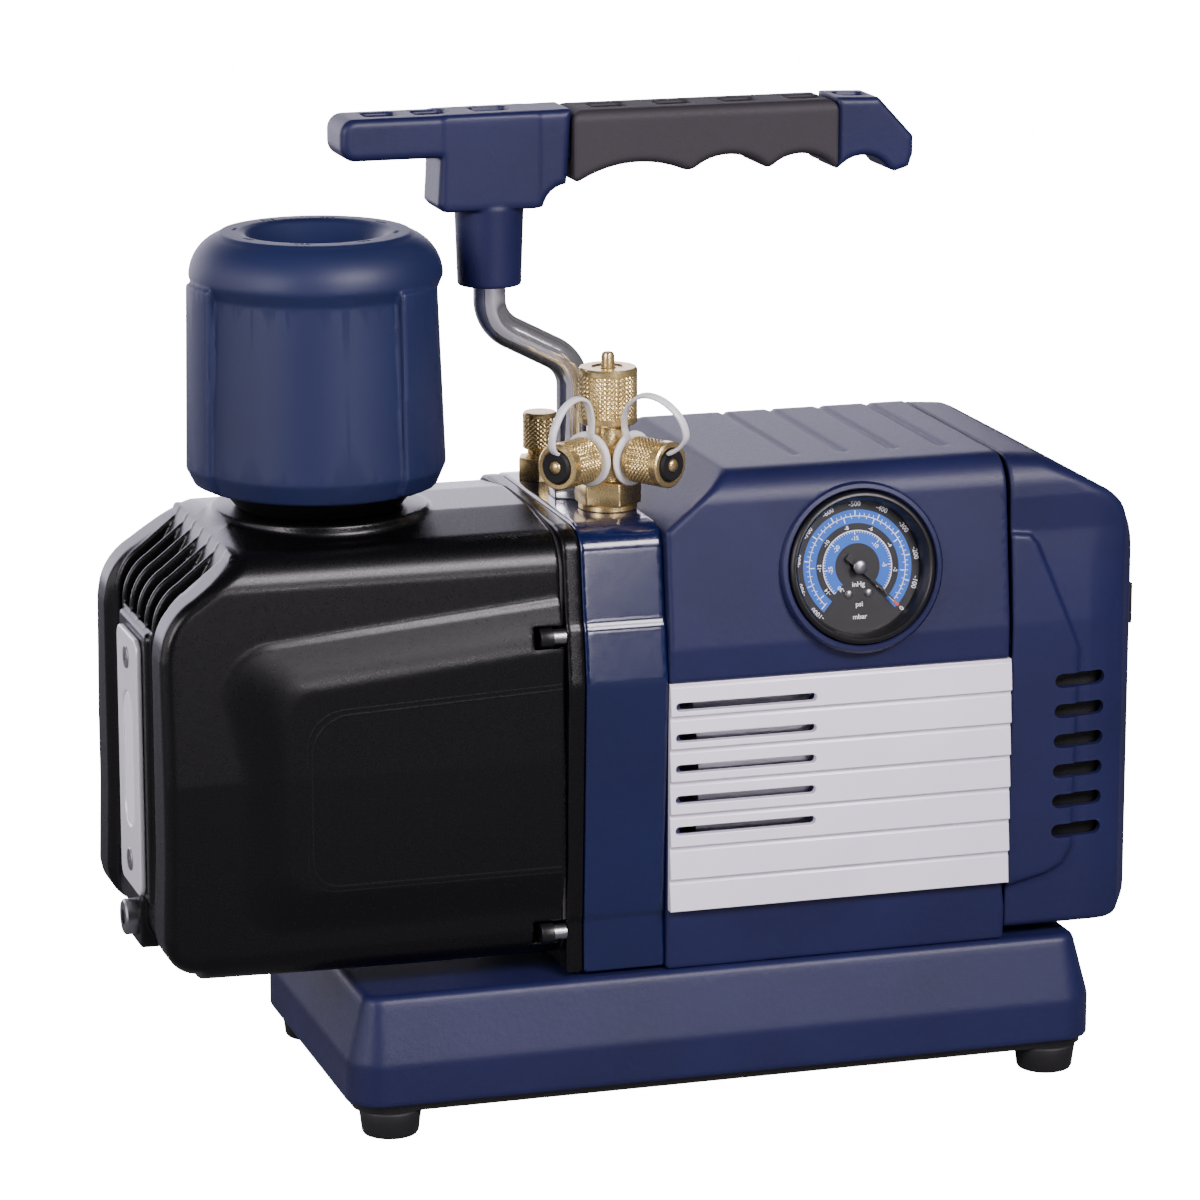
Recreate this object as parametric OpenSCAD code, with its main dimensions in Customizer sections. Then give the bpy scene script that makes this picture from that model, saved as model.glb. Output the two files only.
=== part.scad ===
// Two-stage rotary vane vacuum pump for refrigeration work, in millimetres.
// +X runs from the oil tank's sight glass to the fan cover, -Y is the gauge side, +Z is up.
// The origin is on the surface that the feet stand on, under the middle of the pump.

/* [Overall] */
// Half of the overall length, drain plug to mains inlet
half_length = 173; // [172:1:176]
// Height of the shaft axis above the feet
shaft_z = 112; // [110:1:114]

/* [Base] */
// Front end of the plinth
base_x0 = -110; // [-112:1:-106]
// Rear end of the plinth
base_x1 = 154; // [150:1:156]
// Width of the plinth
base_w = 130; // [126:1:134]
// Height of the plinth's top face
base_top_z = 48.5; // [48:0.5:49]
// Height of the rubber feet
foot_h = 9.5; // [9:0.5:10]
// Largest radius of a rubber foot
foot_r = 11; // [9:0.5:12]

/* [Oil tank] */
// Front face of the tank
tank_x0 = -166; // [-167:0.5:-165]
// Rear edge of the tank
tank_x1 = -35; // [-36:0.5:-35]
// Wall thickness of the tank casting
tank_wall = 3.5; // [3:0.25:4]
// Number of grooves in the cooling bay
groove_count = 6; // [4:1:7]
// Width of the cooling bay
bay_w = 70; // [62:1:72]
// Depth of the cooling grooves
groove_depth = 9; // [6:1:11]

/* [Motor] */
// Front edge of the motor shell
motor_x0 = 0.5; // [0:0.5:1]
// Seam between the motor shell and the fan cover
motor_x1 = 122; // [118:1:124]
// Rear face of the fan cover
cover_x1 = 171.5; // [168:0.5:171.5]
// Wall thickness of the plastic shells
shell_wall = 3; // [2.5:0.25:3.25]
// Radius of the stator core
stator_r = 50; // [46:1:50]
// Number of fan blades
blade_count = 9; // [5:2:11]

/* [Pump] */
// Radius of the pump chambers
chamber_r = 30; // [29:0.5:31]
// Distance from the rotor's centre to the chamber's centre
rotor_offset = 4.5; // [4:0.5:5]
// Gap between rotor and chamber at their closest
rotor_gap = 0.3; // [0.3:0.05:0.4]
// Thickness of a vane
vane_t = 5; // [4:0.5:6]

/* [Filter] */
// Distance of the filter's axis from the origin, along X
filter_x = -103.5; // [-106:0.5:-100]
// Top of the filter cap
filter_top_z = 296; // [292:1:300]
// Radius of the filter cap over its grip lobes
filter_r = 44.6; // [44:0.2:46]

/* [Handle] */
// Top of the handle
handle_top_z = 334; // [330:1:338]
// Width of the handle body
handle_w = 22; // [20:1:24]
// Width of the rubber grip
grip_w = 25; // [24:1:27]
// Outer radius of the handle tube
tube_r = 5.45; // [5:0.05:6]

/* [Gauge] */
// Radius of the gauge's bezel
gauge_r = 25.75; // [25:0.25:27]
// Backward lean of the gauge, in degrees
gauge_lean = 10; // [8:1:12]

/* [Hidden] */
$fn = 48;
eps = 0.01;
navy = [0.13, 0.17, 0.34];
gloss_navy = [0.08, 0.11, 0.25];
tank_black = [0.06, 0.06, 0.06];
soft_black = [0.12, 0.12, 0.12];
silver = [0.78, 0.78, 0.82];
steel = [0.6, 0.6, 0.62];
brass = [0.82, 0.66, 0.35];
milky = [0.93, 0.94, 0.94];
copper = [0.72, 0.42, 0.25];
running_gap = 0.05;
clear = 0.3;
hull_fn = 32;

// Base
skirt_z0 = 12;
skirt_h = 14.5;
base_inset = 5.8;
base_corner_r = 12;
base_wall = 3;
pan_inset = 2.5;
foot_inset = 15;
foot_xs = [base_x0 + foot_inset, base_x1 - foot_inset];
foot_y = base_w / 2 - 11;
foot_screw_r = 2;
base_screw_xs = [40, 92];
base_screw_y = 22;

// Tank
tank_z0 = 55;
tank_top_z = 203;
flange_x0 = -34;
flange_x1 = -28;
ring_x0 = flange_x1;
ring_x1 = motor_x0;
ring_top_z = 201;
crest_x = -143;
crest_z = 197;
groove_pitch = bay_w / groove_count;
fin_t = 3.4;
block_w = 42;
block_z0 = 75;
block_z1 = 168;
frame_w = 31;
frame_z0 = 76.5;
frame_z1 = 164.5;
frame_t = 2;
window_w = 15.5;
window_z0 = 98;
window_z1 = 144;
frame_front = -half_length + 3;
block_front = frame_front + frame_t;
sight_screw_zs = [86, 156];
drain_z = 66;
drain_r = 5.5;
drain_head_r = 6.2;
boss_front = block_front - 1;
tank_screw_zs = [56.5 + 8, 166];
tank_screw_y = 54.6;
tank_screw_r = 2.5;
tank_head_r = 3.4;

// Pump
rotor_r = chamber_r - rotor_offset - rotor_gap;
chamber_z = shaft_z - rotor_offset;
shaft_r = 8;
stage_gap = 0.2;
stage1 = [-72, flange_x0];
middle = [-78, -72];
stage2 = [-98, -78];
end_plate = [-107, -98];
valve_x = (stage2[0] + stage2[1]) / 2;
valve_r = 6;
slot_w = vane_t + 2 * running_gap;
vane_out = rotor_r - rotor_offset - clear;
block_half = 39;
block_bottom = 72;
block_top = 148;

// Motor
frame_r = stator_r + 3;
motor_frame_x = [18, 114];
bell_t = 5;
bearing_r = 16;
capacitor_r = 15;
capacitor_y = 20;
capacitor_z = 182;
stack_x = [38, 94];
rotor_core_r = 27;
slope_x1 = 24;
slope_z0 = 199;
shell_top_z = 217.5;
panel_z0 = 69.5;
panel_z1 = 148.5;
panel_y = 61;
panel_back_y = 58;
panel_slot_h = 2.4;
rib_count = 7;
slot_zs = [for (i = [0:4]) 97.6 + 10.7 * i];
panel_slot_x = [2.5, 52];
cover_slot_zs = [for (i = [0:5]) 85.6 + 10.66 * i];
cover_slot_x = [138, 157];
cover_slot_h = 5;
top_groove_xs = [53.5, 71, 89, 107];

// Rear face
inlet_y = 22;
inlet_z = 160;
rocker_y = -27;
rocker_pivot_x = cover_x1 - 4;
rocker_tilt = 8;
rocker_top = 9;
grille_r = 34;
grille_step = 8;
grille_slot_h = 4;

// Gauge
gauge_x = 68;
gauge_y = -59.5;
gauge_z = 183.5;
gauge_depth = 20;
bezel_lip = 2;
pin_r = 0.8;
zero_turn = -45;
needle_length = 17;

// Exhaust filter
filter_z0 = 211.5;
neck_r = 15;
filter_seat_z = tank_top_z + 1;
collar_r = 34;
collar_top_z = filter_seat_z + 15;
element_h = 60;
element_bore_r = 11;
cap_bore_r = 33.5;
dish_r = 24;
dish_depth = 12;
dish_ball_r = (dish_r * dish_r + dish_depth * dish_depth) / 2 / dish_depth;
dish_start = -acos(dish_r / dish_ball_r);
lobe_turns = [-51, 69, 189];
lobe_angle = 24;

// Manifold
manifold_x = -9;
manifold_y = -21;
port_z = 219.3;
right_turn = -59;
left_turn = -144;
port_reach = 20;
port_r = 5.5;
cap_r = 7.8;
cap_start = 12.8;
cap_end = 28.9;
top_port_r = 7.9;
top_cap_r = 9.9;
ballast_x = -17.7;
ballast_y = 30;
strap_w = 2.6;
strap_t = 1.2;
strap_rise = 17;
left_roll = -8;
right_roll = 22;

// Handle
bend_r = 13;
bend_angle = 62.65;
bend_lap = 2;
tube_foot = [-15, 0];
tube_slant_z = 239.1;
tube_straight = 16.8;
bend_across = bend_r * (1 - cos(bend_angle));
bend_rise = bend_r * sin(bend_angle);
sleeve_x = tube_foot[0] - 2 * bend_across - tube_straight * sin(bend_angle);
sleeve_z0 = 275;
arm_x0 = -97;
arm_z0 = handle_top_z - 14.5;
block_x0 = -64;
block_low_z = handle_top_z - 32.5;
grip_x0 = -18;
grip_x1 = 75;
core_half = 8;
core_z0 = handle_top_z - 17;
core_z1 = handle_top_z - 4;
// Each hollow of the grip: the place of its highest point along X and Z, and its radius
grip_hollows = [
  [5, handle_top_z - 18.7, 40.7],
  [36.5, handle_top_z - 17.5, 19.4],
  [62, handle_top_z - 18.3, 15.4]
];

// Points of an arc in a plane, ends included
function arc(c, r, a0, a1, n = 8) =
  [for (i = [0:n]) c + r * [cos(a0 + (a1 - a0) * i / n), sin(a0 + (a1 - a0) * i / n)]];

// Mirror a half outline, listed upwards, to close it
function mirrored(half) =
  concat(half, [for (i = [len(half) - 1:-1:0]) [-half[i][0], half[i][1]]]);

// Outline of the pump's body across its axis, drawn in by "inset"
function body_outline(foot_w, low_w, mid_w, shoulder_w, z0, low_z, mid_z, top_z, r, inset = 0) =
  mirrored(concat(
    [[foot_w - inset, z0], [low_w - inset, low_z], [mid_w - inset, mid_z]],
    arc([shoulder_w - r, top_z - r], r - inset, 12, 90)));

module along_x(x0, x1) {
  translate([x0, 0, 0]) rotate([90, 0, 90]) linear_extrude(x1 - x0) children();
}

module along_y(y0, y1) {
  translate([0, y1, 0]) rotate([90, 0, 0]) linear_extrude(y1 - y0) children();
}

module rod_x(x0, x1, r) {
  translate([x0, 0, 0]) rotate([0, 90, 0]) cylinder(h = x1 - x0, r = r);
}

module rod_y(y0, y1, r) {
  translate([0, y1, 0]) rotate([90, 0, 0]) cylinder(h = y1 - y0, r = r);
}

module on_shaft() {
  translate([0, 0, shaft_z]) children();
}

module both_sides() {
  children();
  mirror([0, 1, 0]) children();
}

// A straight slot with round ends, cut along Y from y0 to y1
module slot_y(x0, x1, z, h, y0, y1) {
  translate([x0 + h / 2, y0, z - h / 2]) cube([x1 - x0 - h, y1 - y0, h]);
  for (x = [x0 + h / 2, x1 - h / 2]) translate([x, 0, z]) rod_y(y0, y1, h / 2);
}

module hex_prism(across_flats, h) {
  cylinder(h = h, r = across_flats / 2 / cos(30), $fn = 6);
}

// ---------- Base ----------

module at_feet() {
  for (x = foot_xs) for (y = [-foot_y, foot_y]) translate([x, y, 0]) children();
}

module at_base_screws() {
  for (x = base_screw_xs) for (y = [-base_screw_y, base_screw_y]) translate([x, y, 0]) children();
}

module rounded_slab(x0, x1, w, r, z, h) {
  for (x = [x0 + r, x1 - r]) for (y = [-w / 2 + r, w / 2 - r])
    translate([x, y, z]) cylinder(h = h, r = r, $fn = hull_fn);
}

module plinth_form(inset, z0, z1) {
  top_inset = base_inset + inset;
  hull() {
    rounded_slab(base_x0 + inset, base_x1 - inset, base_w - 2 * inset, base_corner_r, z0,
      skirt_z0 + skirt_h - z0);
    rounded_slab(base_x0 + top_inset, base_x1 - top_inset, base_w - 2 * top_inset, base_corner_r,
      z1 - eps, eps);
  }
}

module base_plinth() {
  color(navy) {
    difference() {
      plinth_form(0, skirt_z0, base_top_z);
      plinth_form(base_wall, skirt_z0 - 1, base_top_z - base_wall);
      at_base_screws() translate([0, 0, base_top_z - base_wall - 1]) cylinder(h = base_wall + 2, r = 3);
    }
    at_feet() translate([0, 0, skirt_z0]) difference() {
      cylinder(h = base_top_z - skirt_z0 - base_wall + 1, r = 7);
      translate([0, 0, -1]) cylinder(h = 17, r = foot_screw_r);
    }
  }
}

module base_pan() {
  color(soft_black) difference() {
    union() {
      translate([base_x0 + base_corner_r, -base_w / 2 + pan_inset, foot_h])
        cube([base_x1 - base_x0 - 2 * base_corner_r, base_w - 2 * pan_inset, skirt_z0 - foot_h]);
      translate([base_x0 + pan_inset, -base_w / 2 + base_corner_r, foot_h])
        cube([base_x1 - base_x0 - 2 * pan_inset, base_w - 2 * base_corner_r, skirt_z0 - foot_h]);
      rounded_slab(base_x0 + pan_inset, base_x1 - pan_inset, base_w - 2 * pan_inset,
        base_corner_r - pan_inset, foot_h, skirt_z0 - foot_h);
    }
    at_feet() translate([0, 0, foot_h - 1]) cylinder(h = 5, r = foot_screw_r);
    at_base_screws() translate([0, 0, foot_h - 1]) cylinder(h = 5, r = 6);
  }
}

module rubber_feet() {
  color(soft_black) at_feet() difference() {
    rotate_extrude() polygon([[0, 0], [foot_r - 2, 0], [foot_r - 1, 1], [foot_r, foot_h], [0, foot_h]]);
    translate([0, 0, -1]) cylinder(h = 5, r = 5);
    cylinder(h = foot_h + 1, r = foot_screw_r);
  }
}

module pan_screw(shank_z, head_r, head_h, length) {
  translate([0, 0, shank_z]) cylinder(h = length, r = foot_screw_r);
  translate([0, 0, shank_z - head_h]) cylinder(h = head_h, r = head_r);
}

module base_screws() {
  color(steel) {
    at_feet() pan_screw(4, 4, 2.4, 20);
    at_base_screws() {
      translate([0, 0, base_top_z - base_wall - 3]) cylinder(h = 3, r = 5);
      translate([0, 0, base_top_z - base_wall]) cylinder(h = 10, r = 2.5);
    }
  }
}

// ---------- Oil tank ----------

function tank_section(inset = 0) = mirrored(concat(
  arc([55 - 12, tank_z0 + 12], 12 - inset, -90, -5, 6),
  [[55.6 - inset, 125]],
  arc([52 - 14, tank_top_z - 3.5 - 14], 14 - inset, 8, 84, 7),
  [[15, tank_top_z - inset - 0.4]]));

function tank_profile(inset = 0) = concat(
  [[tank_x1, tank_z0 - 5 + inset], [tank_x0 + 8 + inset, tank_z0 + 1 + inset]],
  arc([tank_x0 + 9, tank_z0 + 14], 10 - inset, -100, -175, 5),
  [[tank_x0 + inset, 100], [tank_x0 + inset, 150]],
  arc([tank_x0 + 18, 170], 18 - inset, 180, 122, 6),
  [[crest_x + inset * 0.4, crest_z - inset], [crest_x + 4, tank_top_z + 1 - inset],
   [tank_x1, tank_top_z + 4 - inset]]);

module tank_form(inset, x1) {
  intersection() {
    along_x(tank_x0 - 5, x1) polygon(tank_section(inset));
    along_y(-60, 60) polygon(tank_profile(inset));
    translate([tank_x0 - 10, -60, 0]) cube([x1 - tank_x0 + 10, 120, 230]);
  }
}

// Raised panel on the tank's side, blending down to the wall around it
module side_relief() {
  module flank(x0, z0, z1, r, y, t) {
    translate([0, y, 0]) {
      for (z = [z0 + r, z1 - r]) translate([x0 + r, 0, z]) rod_y(-t, 0, r, $fn = hull_fn);
      translate([tank_x1 - 1, -t, z0]) cube([1, t, z1 - z0]);
    }
  }
  hull() {
    flank(-147, 72, 168, 14, -53.5, 1);
    flank(-123, 83, 147, 11, -57.6, 0.4);
  }
}

module cooling_bay() {
  intersection() {
    difference() {
      translate([tank_x0 - 1, -bay_w / 2, block_z0 + 6]) cube([25, bay_w, 120]);
      along_y(-60, 60) polygon(tank_profile(groove_depth));
      for (i = [1:groove_count - 1]) translate([tank_x0 - 1, -bay_w / 2 + i * groove_pitch - fin_t / 2, 0])
        cube([40, fin_t, 230]);
      translate([tank_x0 - 1, -block_w / 2 - 1, 0]) cube([14, block_w + 2, block_z1 + 1]);
    }
    translate([tank_x0 - 10, -60, 0]) cube([10 + crest_x - 1 - tank_x0, 120, crest_z - 4]);
  }
}

module oil_tank() {
  color(tank_black) difference() {
    union() {
      difference() {
        union() {
          tank_form(0, tank_x1);
          both_sides() side_relief();
        }
        tank_form(tank_wall, tank_x1 + 1);
      }
      // The cooling grooves are cut into extra thickness behind the front wall
      intersection() {
        tank_form(0, tank_x1);
        translate([tank_x0 - 1, -bay_w / 2 - 3, block_z0]) cube([crest_x - tank_x0 + 4, bay_w + 6, 140]);
        difference() {
          along_y(-60, 60) polygon(tank_profile(0));
          along_y(-60, 60) polygon(tank_profile(groove_depth + tank_wall));
        }
      }
      translate([block_front, -block_w / 2, block_z0])
        cube([tank_x0 + 8 - block_front, block_w, block_z1 - block_z0]);
      translate([boss_front, -10, drain_z - 9]) cube([tank_x0 + 9 - boss_front, 20, 19]);
      translate([filter_x, 0, tank_top_z - 6]) cylinder(h = 7, r = 36);
      intersection() {
        tank_form(0, tank_x1);
        both_sides() for (z = tank_screw_zs) translate([0, -tank_screw_y, z])
          rod_x(tank_x1 - 14, tank_x1, tank_head_r + 4);
      }
    }
    cooling_bay();
    translate([filter_x, 0, tank_top_z - 15]) cylinder(h = 30, r = neck_r);
    translate([0, 0, drain_z]) rod_x(boss_front - 1, tank_x0 + 20, drain_r);
    window_slot(block_front - 1, tank_x0 + 14, window_w - 3);
    for (z = sight_screw_zs) translate([0, 0, z]) rod_x(block_front - 1, block_front + 6, 1.5);
    both_sides() for (z = tank_screw_zs) translate([0, -tank_screw_y, z])
      rod_x(tank_x1 - 10, tank_x1 + 1, tank_head_r + 0.8);
  }
}

module tank_gasket() {
  color(soft_black) difference() {
    along_x(tank_x1, flange_x0) polygon(tank_section(0.4));
    along_x(tank_x1 - 1, flange_x0 + 1) polygon(tank_section(tank_wall));
    both_sides() for (z = tank_screw_zs) translate([0, -tank_screw_y, z])
      rod_x(tank_x1 - 10, flange_x0 + 1, tank_head_r + 0.8);
  }
}

function ring_section(inset = 0) =
  body_outline(56.5, 56.2, 59.5, 53.5, 49, 70, 150, ring_top_z, 9, inset);

module mounting_flange() {
  color(tank_black) difference() {
    along_x(flange_x0, flange_x1) polygon(ring_section(0));
    on_shaft() rod_x(flange_x0 - 1, flange_x1 + 1, 14);
    both_sides() for (z = tank_screw_zs) translate([0, -tank_screw_y, z])
      rod_x(flange_x0 - 1, flange_x1 - 1, tank_screw_r);
  }
}

module bracket_ring() {
  color(gloss_navy) difference() {
    along_x(ring_x0, ring_x1) polygon(ring_section(0));
    on_shaft() rod_x(ring_x0 - 1, ring_x1 + 1, 42);
    translate([tube_foot[0], tube_foot[1], ring_top_z - 20]) cylinder(h = 21, r = tube_r);
    translate([manifold_x, manifold_y, ring_top_z - 25]) cylinder(h = 26, r = 6);
    translate([ballast_x, ballast_y, ring_top_z - 15]) cylinder(h = 16, r = 4);
  }
}

// The shank and head stand in a notch of the tank's wall, and thread into the flange
module tank_screws() {
  color(steel) both_sides() for (z = tank_screw_zs) translate([0, -tank_screw_y, z]) difference() {
    union() {
      rod_x(flange_x0, flange_x1 - 1.5, tank_screw_r);
      rod_x(flange_x0 - 9, flange_x0, tank_head_r);
    }
    translate([flange_x0 - 9.5, 0, 0]) rotate([0, 90, 0]) hex_prism(3, 4);
  }
}

// The upright round-ended shape of the sight glass, from x0 to x1
module window_slot(x0, x1, w) {
  for (z = [window_z0 + window_w / 2, window_z1 - window_w / 2]) translate([0, 0, z]) rod_x(x0, x1, w / 2);
  translate([x0, -w / 2, window_z0 + window_w / 2]) cube([x1 - x0, w, window_z1 - window_z0 - window_w]);
}

module sight_frame() {
  color(silver) difference() {
    translate([frame_front, -frame_w / 2, frame_z0]) cube([frame_t, frame_w, frame_z1 - frame_z0]);
    window_slot(frame_front - 1, block_front + 1, window_w);
    for (z = sight_screw_zs) translate([0, 0, z]) rod_x(frame_front - 1, block_front + 1, 1.5);
  }
}

module sight_window() {
  color(milky) window_slot(frame_front + 0.5, block_front, window_w - 0.2);
}

module sight_screws() {
  color(steel) for (z = sight_screw_zs) translate([0, 0, z]) {
    rod_x(frame_front, block_front + 5, 1.5);
    rod_x(frame_front - 0.6, frame_front, 4);
  }
}

module drain_plug() {
  color(steel) translate([0, 0, drain_z]) {
    rod_x(boss_front, tank_x0 + 9, drain_r - running_gap);
    difference() {
      rod_x(-half_length, boss_front, drain_head_r);
      translate([-half_length - 1, 0, 0]) rotate([0, 90, 0]) hex_prism(6, 4);
    }
  }
}

// ---------- Exhaust filter ----------

module filter_base() {
  color(soft_black) translate([filter_x, 0, 0]) difference() {
    union() {
      rotate_extrude() polygon([[0, filter_seat_z], [27.5, filter_seat_z], [collar_r - 0.5, filter_seat_z + 7],
        [collar_r, filter_seat_z + 9], [collar_r, collar_top_z], [0, collar_top_z]]);
      translate([0, 0, filter_seat_z - 10]) cylinder(h = 12, r = neck_r - running_gap);
      translate([0, 0, collar_top_z]) cylinder(h = element_h + 1, r = element_bore_r);
    }
    translate([0, 0, filter_seat_z - 11]) cylinder(h = 100, r = element_bore_r - 3);
  }
}

module filter_seal() {
  color(soft_black) translate([filter_x, 0, collar_top_z + 1.2])
    rotate_extrude() translate([31, 0]) circle(1.2);
}

module filter_element() {
  color(milky) translate([filter_x, 0, collar_top_z]) difference() {
    cylinder(h = element_h, r = 28);
    translate([0, 0, -1]) cylinder(h = element_h + 2, r = element_bore_r);
  }
}

// The cap's side without its grip lobes, with a hollow dish in its top
function cap_outline(r_low, r_high) = concat(
  [[0, filter_z0 + 8], [35.5, filter_z0 + 8], [35.5, filter_z0], [r_low - 3, filter_z0],
   [r_low, filter_z0 + 7], [r_high, filter_top_z - 19]],
  arc([filter_r - 17, filter_top_z - 14.5], 14.5, 0, 70, 6),
  [[31.5, filter_top_z], [dish_r, filter_top_z]],
  arc([0, filter_top_z + dish_ball_r - dish_depth], dish_ball_r, dish_start, -90, 6));

module filter_cap() {
  color(navy) translate([filter_x, 0, 0]) difference() {
    union() {
      rotate_extrude() polygon(cap_outline(filter_r - 2, filter_r - 4.4));
      for (turn = lobe_turns) rotate([0, 0, turn - lobe_angle / 2]) rotate_extrude(angle = lobe_angle)
        polygon([[30, filter_z0 + 1], [filter_r - 3, filter_z0 + 1], [filter_r, filter_z0 + 7],
          [filter_r - 1, filter_top_z - 16], [30, filter_top_z - 12]]);
    }
    translate([0, 0, filter_z0 - 1]) cylinder(h = 9, r = 35.5);
    translate([0, 0, filter_z0 + 7]) cylinder(h = element_h + 3, r = cap_bore_r);
  }
}

// ---------- Handle ----------

// A bend of the tube in the XZ plane about its own centre. Its ends run a little way into the
// straight stretches, so it is a hair thinner than they are.
module elbow(start) {
  rotate([90, 0, 0]) rotate([0, 0, start - bend_lap]) rotate_extrude(angle = bend_angle + 2 * bend_lap)
    translate([bend_r, 0]) circle(tube_r - 0.02);
}

module handle_tube() {
  knee_z = tube_slant_z + bend_rise;
  sleeve_z = knee_z + tube_straight * cos(bend_angle) + bend_rise;
  color(steel) {
    translate([tube_foot[0], 0, ring_top_z - 20]) cylinder(h = tube_slant_z - ring_top_z + 20, r = tube_r);
    translate([tube_foot[0] - bend_r, 0, tube_slant_z]) elbow(0);
    translate([tube_foot[0] - bend_across, 0, knee_z]) rotate([0, -bend_angle, 0])
      cylinder(h = tube_straight, r = tube_r);
    translate([sleeve_x + bend_r, 0, sleeve_z]) elbow(180);
    translate([sleeve_x, 0, sleeve_z]) cylinder(h = 50, r = tube_r);
  }
}

module handle_nut() {
  color(steel) translate([tube_foot[0], 0, ring_top_z]) difference() {
    hex_prism(15, 6);
    translate([0, 0, -1]) cylinder(h = 8, r = tube_r);
  }
}

// A flat arm reaches forwards from the block that holds the tube
function handle_front() = concat(
  arc([arm_x0 + 5, arm_z0 + 5], 5, -180, -90, 3),
  [[block_x0 + 1, arm_z0], [block_x0, block_low_z + 2], [block_x0 + 2, block_low_z], [-28, block_low_z],
   [-24, block_low_z + 5], [grip_x0, block_low_z + 7.5], [grip_x0, handle_top_z],
   [block_x0 + 2, handle_top_z - 0.5]],
  arc([arm_x0 + 5, handle_top_z - 5.5], 5, 90, 180, 3));

function handle_end() = [
  [grip_x1, handle_top_z - 24.5], [grip_x1 + 4.5, handle_top_z - 21],
  [grip_x1 + 9.5, handle_top_z - 20], [grip_x1 + 15, handle_top_z - 21.5],
  [grip_x1 + 21, handle_top_z - 26], [grip_x1 + 26, handle_top_z - 24.5],
  [grip_x1 + 27.5, handle_top_z - 20], [grip_x1 + 27.5, handle_top_z - 14],
  [grip_x1 + 15, handle_top_z - 0.5],
  [grip_x1, handle_top_z]];

// The bar inside the grip, running on past its ends by "lap"
module grip_core(lap) {
  translate([grip_x0 - lap, -core_half, core_z0])
    cube([grip_x1 - grip_x0 + 2 * lap, 2 * core_half, core_z1 - core_z0]);
}

module handle_body() {
  color(navy) difference() {
    union() {
      along_y(-handle_w / 2, handle_w / 2) polygon(handle_front());
      translate([sleeve_x, 0, sleeve_z0]) cylinder(h = block_low_z - sleeve_z0 + 1, r1 = 10.7, r2 = 11.6);
      grip_core(1);
      along_y(-handle_w / 2, handle_w / 2) polygon(handle_end());
    }
    translate([sleeve_x, 0, sleeve_z0 - 5]) cylinder(h = 52, r = tube_r);
  }
}

// The grip's underside has a long hollow in front and two shorter ones for the fingers
module handle_grip() {
  color(soft_black) difference() {
    translate([grip_x0, -grip_w / 2, handle_top_z - 27]) cube([grip_x1 - grip_x0, grip_w, 26.5]);
    grip_core(2);
    for (h = grip_hollows) translate([h[0], 0, h[1] - h[2]]) rod_y(-20, 20, h[2], $fn = 96);
  }
}

// ---------- Manifold and gas ballast ----------

module toward_port(turn) {
  translate([manifold_x, manifold_y, port_z]) rotate([0, 0, turn]) children();
}

module turned_x(profile) {
  rotate([0, 90, 0]) rotate_extrude() polygon(profile);
}

module manifold() {
  bore = 3.5;
  side_bore = 2.4;
  core_r = 7.2;
  color(brass) {
    difference() {
      translate([manifold_x, manifold_y, ring_top_z]) rotate_extrude()
        polygon([[bore, 0], [9.9, 0], [9.9, 2], [core_r, 2], [core_r, 30], [top_port_r - 1.2, 30],
          [top_port_r - 1.2, 34], [top_port_r, 34], [top_port_r, 44], [bore, 44]]);
      for (turn = [right_turn, left_turn]) toward_port(turn) rod_x(2, 12, side_bore);
    }
    translate([manifold_x, manifold_y, ring_top_z + 2]) difference() {
      hex_prism(20, 8);
      translate([0, 0, -1]) cylinder(h = 10, r = core_r - 1);
    }
    for (turn = [right_turn, left_turn]) toward_port(turn)
      turned_x([[side_bore, 5], [port_r - 1, 5], [port_r - 1, cap_start + 0.7], [port_r, cap_start + 0.7],
        [port_r, port_reach], [side_bore, port_reach]]);
  }
}

module top_cap() {
  color(brass) translate([manifold_x, manifold_y, 0]) difference() {
    union() {
      translate([0, 0, 230]) cylinder(h = 19, r = top_cap_r);
      translate([0, 0, 249]) cylinder(h = 5, r = 2.25);
    }
    translate([0, 0, 229]) cylinder(h = 16.6, r = top_port_r + clear);
  }
}

module side_cap() {
  difference() {
    union() {
      rod_x(cap_start, cap_end - 1, cap_r);
      rod_x(cap_end - 1, cap_end, 3);
    }
    rod_x(cap_start - 1, port_reach + 0.6, port_r + clear);
  }
}

module left_cap() {
  color(brass) toward_port(left_turn) side_cap();
}

module right_cap() {
  color(brass) toward_port(right_turn) side_cap();
}

// A retaining strap: a ring around the port's neck, a loop over the cap, and an eye on the cap's end
module strap(rise, roll) {
  ring_x = cap_start - 1.8;
  eye_x = cap_end + 1;
  difference() {
    rod_x(ring_x - 0.8, ring_x + 0.8, 8);
    rod_x(ring_x - 2, ring_x + 2, port_r - 1 + running_gap);
  }
  difference() {
    rod_x(eye_x - 0.9, eye_x + 0.9, 5.4);
    rod_x(eye_x - 2, eye_x + 2, 3.1);
  }
  middle = (ring_x + eye_x) / 2;
  half = (eye_x - ring_x) / 2;
  rotate([roll, 0, 0]) along_y(-strap_w / 2, strap_w / 2) polygon(concat(
    [[ring_x - strap_t / 2, 6.5]],
    [for (a = [180:-15:0]) [middle + (half + strap_t / 2) * cos(a) + 2 * sin(a), 7 + rise * sin(a)]],
    [[eye_x + strap_t / 2, 4], [eye_x - strap_t / 2, 4]],
    [for (a = [0:15:180]) [middle + (half - strap_t / 2) * cos(a) + 2 * sin(a), 7 + (rise - strap_t) * sin(a)]],
    [[ring_x + strap_t / 2, 6.5]]));
}

module left_strap() {
  color(milky) toward_port(left_turn) strap(strap_rise, left_roll);
}

module right_strap() {
  color(milky) toward_port(right_turn) strap(strap_rise, right_roll);
}

module ballast_valve() {
  color(brass) translate([ballast_x, ballast_y, ring_top_z]) {
    hex_prism(14, 8);
    translate([0, 0, -14]) cylinder(h = 14, r = 4);
    cylinder(h = 16, r = 3);
  }
}

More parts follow.
